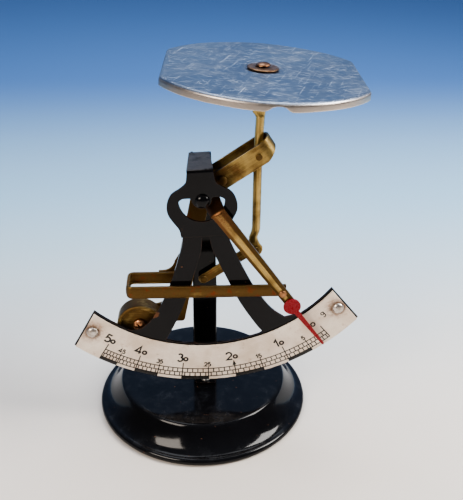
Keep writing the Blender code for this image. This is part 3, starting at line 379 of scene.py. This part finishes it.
def add(name, bm, material, nodes, body, smooth=40):
    """Make the mesh a piece that stands for these CAD nodes and rides on the body."""
    bmesh.ops.recalc_face_normals(bm, faces=bm.faces[:])
    mesh = bpy.data.meshes.new(name)
    bm.to_mesh(mesh)
    bm.free()
    mesh.materials.append(material)
    mesh.shade_smooth()
    mesh.set_sharp_from_angle(angle=math.radians(smooth))
    obj = bpy.data.objects.new(name, mesh)
    bpy.context.scene.collection.objects.link(obj)
    obj.modifiers.new("normals", "WEIGHTED_NORMAL").keep_sharp = True
    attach(obj, body)
    if nodes:
        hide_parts(*nodes)


def body_of(node):
    """The moving body that a CAD node belongs to."""
    bodies = frame["record"]["behaviour"]["bodies"]
    return next(body for body, nodes in bodies.items() if node in nodes)


def refine(node, name, material, width=0.16, angle=32, segments=2):
    """Replace a CAD node by the same shape with rounded edges."""
    bm = soften(solid_of(node), width, angle, segments)
    add(name, bm, material, [node], body_of(node))


def cut(bm, cutter):
    """Take the cutter's shape out of a solid; both are closed meshes, and both are used up."""
    objects = []
    for part in (bm, cutter):
        bmesh.ops.recalc_face_normals(part, faces=part.faces[:])
        mesh = bpy.data.meshes.new("cut")
        part.to_mesh(mesh)
        part.free()
        objects.append(bpy.data.objects.new("cut", mesh))
        bpy.context.scene.collection.objects.link(objects[-1])
    solid, tool = objects
    modifier = solid.modifiers.new("cut", "BOOLEAN")
    modifier.operation = "DIFFERENCE"
    modifier.solver = "EXACT"
    modifier.object = tool
    evaluated = solid.evaluated_get(bpy.context.evaluated_depsgraph_get())
    result = bmesh.new()
    result.from_mesh(evaluated.to_mesh())
    for obj in objects:
        bpy.data.objects.remove(obj)
    return result


def bar(centre, size, axis, degrees):
    """A plain block, turned about an axis, to cut a slot with."""
    bm = bmesh.new()
    bmesh.ops.create_cube(bm, size=1.0)
    bmesh.ops.scale(bm, verts=bm.verts[:], vec=Vector(size) * MM)
    bmesh.ops.rotate(bm, verts=bm.verts[:], cent=(0, 0, 0),
                     matrix=Matrix.Rotation(math.radians(degrees), 3, axis))
    bmesh.ops.translate(bm, verts=bm.verts[:], vec=Vector(centre) * MM)
    return bm


def dome(radius, height, steps=8):
    """(radius, height) points of a domed head, from its edge to its crown."""
    angles = [math.pi / 2 * i / steps for i in range(steps + 1)]
    points = [(radius * math.cos(a), height * math.sin(a)) for a in angles]
    return points[:-1] + [(0, height)]


# ---- pieces ---------------------------------------------------------------------------------

SCREW_HEAD = 1.4               # height of a slotted screw's dome


def make_foot():
    """The pressed foot: a flat top, a curved slope and a rolled rim, drilled for its screws."""
    low, high, middle = box("base_shell")
    radius, top, wall, bead = (high.x - low.x) / 2, high.z, 1.1, 1.7
    top_r, bead_x = radius - 10.5, radius - bead
    slope = [(top_r - 1.4, top), (top_r - 0.5, top - 0.12), (top_r + 0.1, top - 0.5),
             (top_r + 0.6, top - 1.2), (top_r + 1.4, top - 2.6), (top_r + 2.3, top - 4.1),
             (top_r + 3.3, top - 5.6), (top_r + 4.5, top - 7.3), (top_r + 5.9, top - 8.9),
             (top_r + 7.1, top - 9.8), (bead_x - 0.9, 3.55)]
    flat = [(0, top)] + [(r, top) for r in (6, 12, 18, 24, 30, top_r - 3)]
    rim = arc((bead_x, bead), bead, 98, -70, 16)
    under = [(bead_x + 0.4, 0), (bead_x - 0.9, 0), (bead_x - 1.5, 0.7), (bead_x - 1.8, 2.4),
             (top_r + 5.9 - wall, top - 9.6), (top_r + 3.3 - wall, top - 6.2),
             (top_r + 0.6 - wall, top - 1.7), (top_r - 1.4, top - wall), (0, top - wall)]
    bm = lathe(flat + slope + rim + under, (middle.x, middle.y, 0), (0, 0, 1), 160)
    for node in ("foot_screw_back", "foot_screw_front"):
        centre = box(node)[2]
        hole = [(0, -6), (1.5, -6), (1.5, 6), (0, 6)]
        bm = cut(bm, lathe(hole, (centre.x, centre.y, top), (0, 0, 1), 24))
    add("foot_dome", bm, enamel("foot_enamel", 1.0, 0.8, 0.6), ["base_shell"], "stand",
        34)


def make_fastener(node, name, material, head_h, shank_r, tail_r, tail_h):
    """A domed head and its shank along Y, sized by the CAD node's box."""
    low, high, middle = box(node)
    head_r = (high.x - low.x) / 2
    front = low.y + head_h
    end = front - high.y
    shank = [(0, end), (tail_r * 0.8, end), (tail_r, end + tail_h * 0.4),
             (tail_r, end + tail_h), (shank_r, end + tail_h), (shank_r, 0)]
    flat = head_h * 0.12
    head = [(head_r * 0.96, 0), (head_r, flat)]
    head += [(r, flat + h) for r, h in dome(head_r, head_h * 0.88)[1:]]
    bm = lathe(shank + head, (middle.x, front, middle.z), (0, -1, 0), 40)
    add(name, bm, material, [node], body_of(node), 40)


def make_slotted_screw(node, name, material, axis, shank_r, head_r, groove, turn):
    """A screw whose slotted dome points up an axis, sized along it by the CAD node's box."""
    low, high, middle = box(node)
    along = "XYZ".index(axis)
    seat, tip, pointing = middle.copy(), middle.copy(), Vector()
    seat[along] = high[along] - SCREW_HEAD
    tip[along] = high[along]
    pointing[along] = 1
    end = low[along] - (high[along] - SCREW_HEAD)
    shank = [(0, end), (shank_r, end), (shank_r, 0)]
    bm = lathe(shank + dome(head_r, SCREW_HEAD), seat, pointing, 40)
    bm = cut(bm, bar(tip, groove, axis, turn))
    add(name, bm, material, [node], body_of(node), 40)


def make_stand():
    """What stands still, apart from the foot and the dial: post, plate, bracket and fasteners."""
    steel = plain_metal("steel_screw", (0.40, 0.39, 0.37), (0.20, 0.17, 0.15), 1.0, 0.6)
    black = enamel("small_enamel", 4.0, 0.4, 0.2)
    refine("rear_post", "post", enamel("post_enamel", 2.0, 0.6, 0.3), 0.28, 32, 3)
    top = box("front_plate")[1].z
    ring = enamel("ring_enamel", 3.0, 0.5, 0.4, scuffed_above=top)
    refine("front_plate", "ring_plate", ring, 0.2)
    chip = Vector((PIVOT.x - 20, box("dial_bracket")[0].y, PIVOT.z - 52))      # on the left leg
    legs = enamel("bracket_enamel", 6.0, 0.8, 0.3, patches=((chip, 1.8),))
    refine("dial_bracket", "bracket", legs, 0.16)
    make_fastener("front_pivot_screw", "pivot_cap", black, 1.9, 1.0, 1.0, 0.2)
    for side in ("left", "right"):
        refine("neck_rivet_" + side, "neck_stud_" + side, black, 0.06)
        seed = 2.0 if side == "left" else 5.0
        shine = plain_metal("dial_rivet_metal_" + side, (0.62, 0.58, 0.54), (0.34, 0.28, 0.23),
                            seed, 0.5, 0.24)
        make_fastener("dial_rivet_" + side, "dial_stud_" + side, shine, 1.5, 1.2, 1.9, 0.7)
    for end in ("back", "front"):
        refine("top_rivet_" + end, "tab_rivet_" + end, black, 0.12)
        make_slotted_screw("foot_screw_" + end, "post_screw_" + end, steel, "Z",
                           1.2, 2.2, (6, 0.55, 1.3), 25)
        refine("foot_nut_" + end, "post_nut_" + end, steel, 0.15)
    stud = brass("link_stud_brass", 8.0, 0.75)
    make_fastener("link_stud", "link_pivot_stud", stud, 0.7, 1.0, 1.7, 0.7)
    make_slotted_screw("rear_pivot_screw", "rear_bearing_screw", steel, "Y",
                       1.0, 2.5, (8, 1.3, 0.6), 30)


# The dial's marks. From the zero mark, mass goes as sin(turn) / cos(lean - turn).
ZERO_MARK = 40.2               # degrees right of straight down
FULL_MARK = -31.3
FULL_GRAMS = 50
LAW_LEAN = math.radians(30)    # the lean that the printed marks fit, not the lever's own
LADDER = (80.2, 82.25, 84.3)   # radii of the scale's three lines
BLOCKS = 85.9                  # outer radius of the dark blocks below them
LINE = 0.44                    # width of a line of the scale


def law(turn):
    """The mass at a turn from the zero mark, to some scale."""
    return math.sin(turn) / math.cos(LAW_LEAN - turn)


def mark_angle(grams):
    """Where a mass is marked, in degrees right of straight down."""
    q = grams / FULL_GRAMS * law(math.radians(ZERO_MARK - FULL_MARK))
    turn = math.atan(q * math.cos(LAW_LEAN) / (1 - q * math.sin(LAW_LEAN)))
    return ZERO_MARK - math.degrees(turn)


# Each character as lines of (across, up) points in a unit square, and its width.
STROKES = {
    "0": [arc((0.31, 0.5), 0.31, 0, 360, 24)],
    "1": [[(0.02, 0.66), (0.30, 0.98), (0.30, 0.0)]],
    "2": [arc((0.31, 0.68), 0.29, 165, -38, 12) + [(0.02, 0.04), (0.62, 0.04)]],
    "3": [arc((0.27, 0.74), 0.23, 150, -78, 10), arc((0.27, 0.28), 0.28, 78, -150, 12)],
    "4": [[(0.47, 0.0), (0.47, 0.98), (0.0, 0.26), (0.66, 0.26)]],
    "5": [[(0.56, 0.96), (0.16, 0.96), (0.09, 0.52)] + arc((0.29, 0.31), 0.30, 112, -140, 12)],
    "g": [arc((0.30, 0.62), 0.27, 0, 360, 20),
          [(0.60, 0.92), (0.60, 0.1)] + arc((0.32, 0.1), 0.28, 0, -150, 8)],
}
WIDTHS = {"0": 0.62, "1": 0.42, "2": 0.64, "3": 0.56, "4": 0.68, "5": 0.60, "g": 0.62}


def make_dial():
    """The dial's plate, and its printing as thin solids on it."""
    front = box("dial_face")[0].y
    rivets = [box("dial_rivet_" + side)[2] for side in ("left", "right")]
    rivets = [Vector((middle.x, front, middle.z)) for middle in rivets]
    refine("dial_face", "dial_plate", cream("dial_cream", rivets), 0.12)
    bm = bmesh.new()
    faces = (front - 0.03, front + 0.05)

    def prism(left, right, shut=False):
        """A thin closed solid between two lines of (x, z) points from the pivot."""
        rows = []
        for pair in zip(left, right):
            row = [(x, y, z) for (x, z), y in zip((*pair, *reversed(pair)),
                                                  (faces[0], faces[0], faces[1], faces[1]))]
            rows.append([bm.verts.new(Vector((x + PIVOT.x, y, z + PIVOT.z)) * MM) for x, y, z in row])
        skin(bm, rows, closed=shut)

    def sector(inner, outer, start, end):
        """A stretch of a ring between two angles."""
        steps = max(1, round(abs(end - start) / 1.2))
        angles = [start + (end - start) * i / steps for i in range(steps + 1)]
        prism([polar(inner, a) for a in angles], [polar(outer, a) for a in angles])

    def tick(inner, outer, angle, width=LINE):
        """A short line that points at the pivot."""
        half = math.degrees(width / 2 / outer)
        sector(inner, outer, angle - half, angle + half)

    def stroke(points, width, shut):
        """A line of even width, with mitred corners."""
        points = [Vector(p) for p in points]
        count = len(points)
        left, right = [], []
        for i, point in enumerate(points):
            before = points[i - 1] if i or shut else points[i]
            after = points[(i + 1) % count] if i < count - 1 or shut else points[i]
            a = point - before
            b = after - point
            a = a.normalized() if a.length > 0 else b.normalized()
            b = b.normalized() if b.length > 0 else a
            along = (a + b).normalized()
            out = Vector((-along.y, along.x))
            reach = width / 2 / max(0.45, out.dot(Vector((-a.y, a.x))))
            left.append(tuple(point + out * reach))
            right.append(tuple(point - out * reach))
        prism(left, right, shut)

    def write(label, radius, angle, height, width):
        """Characters side by side, their feet away from the pivot; a final 0 is smaller."""
        sizes = [height * (0.66 if k and c == "0" else 1.0) for k, c in enumerate(label)]
        gap = height * 0.13
        total = sum(WIDTHS[c] * s for c, s in zip(label, sizes)) + gap * (len(label) - 1)
        turn_by = math.radians(angle)
        across = Vector((math.cos(turn_by), math.sin(turn_by)))
        up = Vector((-math.sin(turn_by), math.cos(turn_by)))
        at = -total / 2
        for character, size in zip(label, sizes):
            for line in STROKES[character]:
                shut = line[0] == line[-1] or (Vector(line[0]) - Vector(line[-1])).length < 1e-6
                points = []
                for u, v in line[:-1] if shut else line:
                    spot = across * (at + u * size) + up * (v * size - height / 2)
                    points.append(Vector(polar(radius, angle)) + spot)
                stroke(points, width, shut)
            at += WIDTHS[character] * size + gap

    inner, middle, outer = LADDER
    for radius in LADDER:
        sector(radius - LINE / 2, radius + LINE / 2, FULL_MARK, ZERO_MARK)
    for grams in range(FULL_GRAMS + 1):
        tick(inner, middle, mark_angle(grams))
        if grams < FULL_GRAMS:
            tick(middle, outer, mark_angle(grams + 0.5))
    for tens in range(0, FULL_GRAMS + 1, 10):
        angle = mark_angle(tens)
        tick(77.3, 86.0 if tens else 84.4, angle, 0.5)
        if tens:
            write(str(tens), 74.6, angle - 0.4, 4.0, 0.80)
        else:
            write("0", 74.6, angle - 1.5, 2.9, 0.65)
        if tens < FULL_GRAMS:
            five = mark_angle(tens + 5)
            tick(79.2, BLOCKS, five)
            write(str(tens + 5), 77.9, five - 0.2, 2.0, 0.52)
            sector(outer, BLOCKS, five, mark_angle(tens + 10))
    arrow, tip, foot, spread = mark_angle(20), 77.0, 79.6, 0.62
    point = polar(tip, arrow)
    prism([point, polar(foot, arrow - spread)], [point, polar(foot, arrow + spread)])
    write("g", 73.2, 43.6, 2.4, 0.45)
    bmesh.ops.remove_doubles(bm, verts=bm.verts[:], dist=1e-7)
    add("dial_printing", bm, ink("dial_ink"), [], "stand", 30)


def make_beam():
    """The pieces that turn on the spindle, apart from the weight."""
    steel = plain_metal("spindle_steel", (0.36, 0.35, 0.33), (0.18, 0.15, 0.12), 3.0, 0.4)
    refine("spindle", "spindle_shaft", steel, 0.15)
    for end in ("front", "back"):
        collar = brass("collar_brass_" + end, 5.0, 0.6)
        refine("spindle_collar_" + end, "collar_" + end, collar, 0.2)
    refine("lever_box", "lever", brass("lever_brass", 1.5, 0.55, 34, 0.15, 0.26), 0.14, 32, 3)
    dark = brass("rivet_brass", 6.0, 0.9, polish=0.34)
    make_fastener("lever_rivet", "lever_stud", dark, 0.8, 1.2, 1.8, 0.6)
    make_fastener("rod_pin", "rod_pivot_pin", dark, 0.5, 0.8, 1.3, 0.5)
    hanging = brass("pendulum_brass", 9.0, 1.15, 79, 0.4, 0.38)
    refine("pendulum_arm", "pendulum", hanging, 0.18)
    copper = plain_metal("rivet_copper", (0.42, 0.22, 0.11), (0.20, 0.09, 0.045), 4.0, 0.3)
    make_fastener("brace_rivet_front", "brace_stud_front", copper, 0.6, 1.0, 1.5, 0.4)
    make_fastener("brace_rivet_back", "brace_stud_back", copper, 0.5, 1.0, 1.6, 0.6)
    refine("brace_bar", "brace", brass("brace_brass", 2.5, 0.98, 0, 0.75, 0.30), 0.10)
    # The pointer strip turns browner round this point, just below the pivot.
    window = Vector((PIVOT.x, box("pointer_arm")[0].y, PIVOT.z - 4))
    # The strip's gold crown and brown slopes are a painted highlight and painted shade.
    strip = brass("pointer_brass", 3.5, 0.30, -54, 0.2, 0.2, painted_ridge_light=1.0, browner_near=window)
    refine("pointer_arm", "pointer_strip", strip, 0.10)
    refine("pointer", "pointer_needle", red_paint("pointer_red"), 0.14)


def make_weight():
    """The round weight, with a rounded rim and a face that sinks towards its screw."""
    low, high, middle = box("weight_body")
    r = (high.x - low.x) / 2
    long = high.y - low.y
    back = [(1.8, long), (r - 0.6, long)] + arc((r - 0.6, long - 0.6), 0.6, 90, 0, 4)
    rim = [(r, 1.0)] + arc((r - 0.75, 0.75), 0.75, 0, -90, 6) + arc((r - 1.0, 0.6), 0.6, -90, -170, 4)
    face = [(r - 1.8, 1.15), (r - 2.6, 1.28), (r - 4.0, 1.36), (3.4, 1.4), (1.8, 1.4)]
    bm = lathe(back + rim + face, (middle.x, low.y, middle.z), (0, 1, 0))
    add("counterweight", bm, brass("weight_brass", 4.5, 0.74, 0, 0.15, 0.34), ["weight_body"], "beam",
        50)
    copper = plain_metal("screw_copper", (0.50, 0.25, 0.13), (0.22, 0.10, 0.05), 6.0, 0.3)
    refine("weight_screw", "counterweight_screw", copper, 0.12)


# The pan leans with its mount; its own frame has its middle on its flat top, and Z out of it.
PAN_TURN = -2.6                # degrees about its own axis
MOUNT_BACK = 20                # the mount's point, behind the pan's middle
PAN_DIMPLE = 0.3
PAN_LEAN = Vector(MOUNTS["pan_top"]["axis"])
PAN_TO_WORLD = (Matrix.Rotation(math.atan2(-PAN_LEAN.y, PAN_LEAN.z), 3, "X")
                @ Matrix.Rotation(math.asin(PAN_LEAN.x), 3, "Y")
                @ Matrix.Rotation(math.radians(PAN_TURN), 3, "Z"))
PAN_MIDDLE = Vector(MOUNTS["pan_top"]["pos_m"]) / MM - PAN_TO_WORLD @ Vector((0, MOUNT_BACK, 0))
DIMPLE = PAN_MIDDLE + PAN_TO_WORLD @ Vector((0, 0, -PAN_DIMPLE))


def make_pan():
    """A thin dish with a dimple at its middle and a rolled-down rim, a little dented by use."""
    radius, flat = 42.4, 37.0
    t, rim, count = 0.65, 3.3, 240
    corner = 0.9
    notch_middle, notch_half, notch_deep = math.radians(-85.5), 3.5 / radius, 1.9
    angles = [2 * math.pi * i / count - math.pi for i in range(count)]

    def edge(angle):
        """A circle with a flat at each side, and soft corners between them."""
        chord = flat / max(abs(math.cos(angle)), 1e-6)
        past = abs(chord - radius)
        near = min(chord, radius)
        return near - 0.14 * (1 - past / corner) ** 2 if past < corner else near

    def depth(angle):
        """How far the rim reaches down, which is less at the notch in front."""
        share = abs(angle - notch_middle) / notch_half
        wave = 0.18 * noise.noise(Vector((math.cos(angle), math.sin(angle), 0.4)) * 5)
        if share >= 1.0:
            return rim - 0.2 + wave
        return rim - 0.2 + wave - notch_deep * math.sqrt(1 - share ** 2)

    def dent(x, y):
        """Broad dents, with finer ones on them."""
        broad = 0.16 * noise.noise(Vector((x / 19, y / 19, 0.7)))
        return broad + 0.05 * noise.noise(Vector((x / 6, y / 6, 3.1)))

    def ring(inset, z, share=0.0):
        """A row inside the edge; share is how much of the rim's own depth it takes."""
        row = []
        for a in angles:
            r = edge(a) - inset
            x, y = r * math.cos(a), r * math.sin(a)
            row.append((x, y, z - share * (depth(a) - 1.2) + dent(x, y)))
        return row

    def disc(r, z):
        """A round row."""
        return [(r * math.cos(a), r * math.sin(a), z + dent(r * math.cos(a), r * math.sin(a)))
                for a in angles]

    deep = PAN_DIMPLE
    tops = [disc(1.9, -deep), disc(4.0, -deep), disc(6.3, -deep), disc(6.8, -deep * 0.8),
            disc(7.3, -deep * 0.3), disc(7.9, 0.12), disc(8.6, 0.12), disc(9.6, 0.0)]
    spread = [13, 17, 21, 25, 29, 32.5]
    sheet = [disc(r, 0.0) for r in spread]
    rounded = [ring(2.6, 0.0), ring(1.9, 0.02), ring(1.3, 0.0), ring(0.75, -0.14), ring(0.36, -0.40),
               ring(0.10, -0.80), ring(0.0, -1.25)]
    skirt = [ring(0.0, -1.2, 0.35), ring(-0.03, -1.2, 0.7), ring(0.0, -1.2, 0.97), ring(0.12, -1.2, 1.0),
             ring(t - 0.12, -1.2, 1.0), ring(t, -1.2, 0.97), ring(t, -1.2, 0.5), ring(t + 0.02, -1.35)]
    under = [ring(t + 0.5, -t - 0.25), ring(t + 1.3, -t), ring(2.9, -t)]
    bottom = [disc(r, -t) for r in reversed(spread)]
    bottom += [disc(8.9, -t), disc(7.7, -t), disc(6.6, -t - deep * 0.9), disc(1.9, -t - deep)]
    bm = bmesh.new()
    rows = [[bm.verts.new((PAN_MIDDLE + PAN_TO_WORLD @ Vector(p)) * MM) for p in row]
            for row in tops + sheet + rounded + skirt + under + bottom]
    skin(bm, rows, closed=True)
    add("weighing_pan", bm, aluminium("pan_aluminium", DIMPLE), ["pan"], "rod", 60)


def make_pan_fastening():
    """The cupped washer in the pan's dimple, and the slotted screw that holds it."""
    washer = [(1.6, 0.35), (1.6, 0.85), (3.6, 1.0), (5.3, 0.95), (5.8, 0.8), (6.0, 0.6), (5.95, 0.4),
              (5.7, 0.35)]
    bm = lathe(washer, DIMPLE, PAN_TO_WORLD @ Vector((0, 0, 1)), 72)
    brown = plain_metal("washer_metal", (0.20, 0.12, 0.07), (0.075, 0.038, 0.022), 7.5, 0.6, 0.34)
    add("washer", bm, brown, ["pan_washer"], "rod", 50)

    low, high, middle = box("pan_screw")
    head_r, lip, crown = 2.85, 0.25, 1.05
    seat = high.z - 1.3
    stem = [(0, low.z - seat), (0.8, low.z - seat), (0.8, 0), (2.7, 0), (head_r, lip)]
    head = [(r, lip + h) for r, h in dome(head_r, crown)[1:]]
    bm = lathe(stem + head, (middle.x, middle.y, seat), (0, 0, 1), 48)
    bm = cut(bm, bar((middle.x, middle.y, high.z), (8, 0.6, 1.0), "Z", -20))
    worn = plain_metal("pan_screw_metal", (0.24, 0.13, 0.075), (0.09, 0.042, 0.024), 8.0, 0.7)
    add("pan_screw_head", bm, worn, ["pan_screw"], "rod", 40)


def make_rod_and_link():
    """The upright rod that carries the pan, and the link that steadies its foot."""
    refine("pan_rod", "rod_bar", brass("rod_brass", 10.0, 0.30, 90, 0.1, 0.25), 0.12, 40)
    refine("lower_link", "link_bar", brass("link_brass", 11.0, 0.66, 34, 0.35, 0.30), 0.15)
    dark = brass("link_pin_brass", 12.0, 0.8)
    make_fastener("link_pin", "link_rivet", dark, 0.5, 1.0, 1.5, 0.4)


# ---- stage ----------------------------------------------------------------------------------

LIGHT_AIM = Vector((0, 0, 0.05))


def make_floor():
    """Pale paper, warm in front and blue further back."""
    bm = bmesh.new()
    bmesh.ops.create_grid(bm, x_segments=4, y_segments=4, size=4.0)
    mesh = bpy.data.meshes.new("floor")
    bm.to_mesh(mesh)
    bm.free()
    floor = bpy.data.objects.new("floor", mesh)
    bpy.context.scene.collection.objects.link(floor)
    f = Finish("floor_paper", 1.0)
    near = f.mix(f.noise(60, 4), (0.60, 0.545, 0.49), (0.66, 0.61, 0.56))
    back = f.span(f.axis(f.place, "Y"), -0.06, 0.26)
    far = f.span(f.axis(f.place, "Y"), 0.16, 0.62)
    sheet = f.mix(back, near, (0.32, 0.52, 0.68))
    sheet = f.mix(far, sheet, (0.08, 0.20, 0.48))
    mesh.materials.append(f.done(sheet, 0.65, f.noise(1.5, 3), 0.02))


def make_light(name, place, size, power, colour):
    """A soft rectangular light that faces the balance; places in metres."""
    data = bpy.data.lights.new(name, "AREA")
    data.shape = "RECTANGLE"
    data.size, data.size_y = size
    data.energy = power
    data.color = colour
    lamp = bpy.data.objects.new(name, data)
    lamp.location = place
    lamp.rotation_euler = (LIGHT_AIM - Vector(place)).to_track_quat("-Z", "Y").to_euler()
    bpy.context.scene.collection.objects.link(lamp)


def make_world():
    """A dim room, with a blue wall on the far side."""
    world = bpy.data.worlds.new("studio")
    world.use_nodes = True
    bpy.context.scene.world = world
    tree = world.node_tree
    sky = tree.nodes["Background"]
    coordinate = tree.nodes.new("ShaderNodeTexCoord")
    parts = tree.nodes.new("ShaderNodeSeparateXYZ")
    tree.links.new(coordinate.outputs["Generated"], parts.inputs[0])
    colours = []
    ramps = {"Z": ((0.0, (0.15, 0.145, 0.14)), (0.30, (0.10, 0.105, 0.115)),
                   (0.75, (0.28, 0.31, 0.36)), (1.0, (0.42, 0.45, 0.50))),
             "Y": ((0.0, (0.0, 0.0, 0.0)), (0.25, (0.05, 0.10, 0.20)), (1.0, (0.20, 0.42, 0.85)))}
    for axis, stops in ramps.items():
        blend = tree.nodes.new("ShaderNodeValToRGB")
        tree.links.new(parts.outputs[axis], blend.inputs["Fac"])
        while len(blend.color_ramp.elements) < len(stops):
            blend.color_ramp.elements.new(0.5)
        for element, (position, colour) in zip(blend.color_ramp.elements, stops):
            element.position = position
            element.color = (*colour, 1.0)
        colours.append(blend.outputs["Color"])
    total = tree.nodes.new("ShaderNodeMix")
    total.data_type = "RGBA"
    total.blend_type = "ADD"
    total.inputs[0].default_value = 1.0
    tree.links.new(colours[0], total.inputs[MIX_A])
    tree.links.new(colours[1], total.inputs[MIX_B])
    tree.links.new(total.outputs[MIX_RESULT], sky.inputs["Color"])
    sky.inputs["Strength"].default_value = 0.75


CAMERA_FROM_FOOT = (-4.5, -265.2, 218.6)       # in millimetres, from under the foot's middle
CAMERA_YAW = 3.70              # degrees towards +X
CAMERA_PITCH = 27.93           # degrees down
CAMERA_ROLL = 0.87
CAMERA_LENS = 50.4             # for a 36 mm sensor


def make_camera():
    """The photograph's viewpoint."""
    data = bpy.data.cameras.new("camera")
    data.sensor_width = 36.0
    data.lens = CAMERA_LENS
    data.clip_start, data.clip_end = 0.01, 20.0
    camera = bpy.data.objects.new("camera", data)
    yaw, pitch, roll = (math.radians(a) for a in (CAMERA_YAW, CAMERA_PITCH, CAMERA_ROLL))
    ahead = Vector((math.sin(yaw) * math.cos(pitch), math.cos(yaw) * math.cos(pitch), -math.sin(pitch)))
    right = Vector((math.cos(yaw), -math.sin(yaw), 0))
    up = right.cross(ahead)
    tilted_right = right * math.cos(roll) + up * math.sin(roll)
    tilted_up = up * math.cos(roll) - right * math.sin(roll)
    turned = Matrix((tilted_right, tilted_up, -ahead)).transposed().to_4x4()
    foot = box("base_shell")[2]
    place = Vector((foot.x, foot.y, 0)) + Vector(CAMERA_FROM_FOOT)
    camera.matrix_world = Matrix.Translation(place * MM) @ turned
    bpy.context.scene.collection.objects.link(camera)
    bpy.context.scene.camera = camera


view = bpy.context.scene.view_settings
view.view_transform = "AgX"
view.look = "AgX - Medium High Contrast"
view.exposure = 0.0
make_camera()
make_floor()
make_world()
make_light("window_right", (0.55, -0.10, 0.55), (0.30, 0.42), 9.0, (1.0, 0.97, 0.93))
make_light("window_left", (-0.50, -0.55, 0.50), (0.40, 0.30), 5.5, (1.0, 0.90, 0.80))
make_light("ceiling", (0.05, 0.25, 1.0), (0.8, 0.8), 8.0, (0.93, 0.96, 1.0))
make_foot()
make_stand()
make_dial()
make_beam()
make_weight()
make_pan()
make_pan_fastening()
make_rod_and_link()
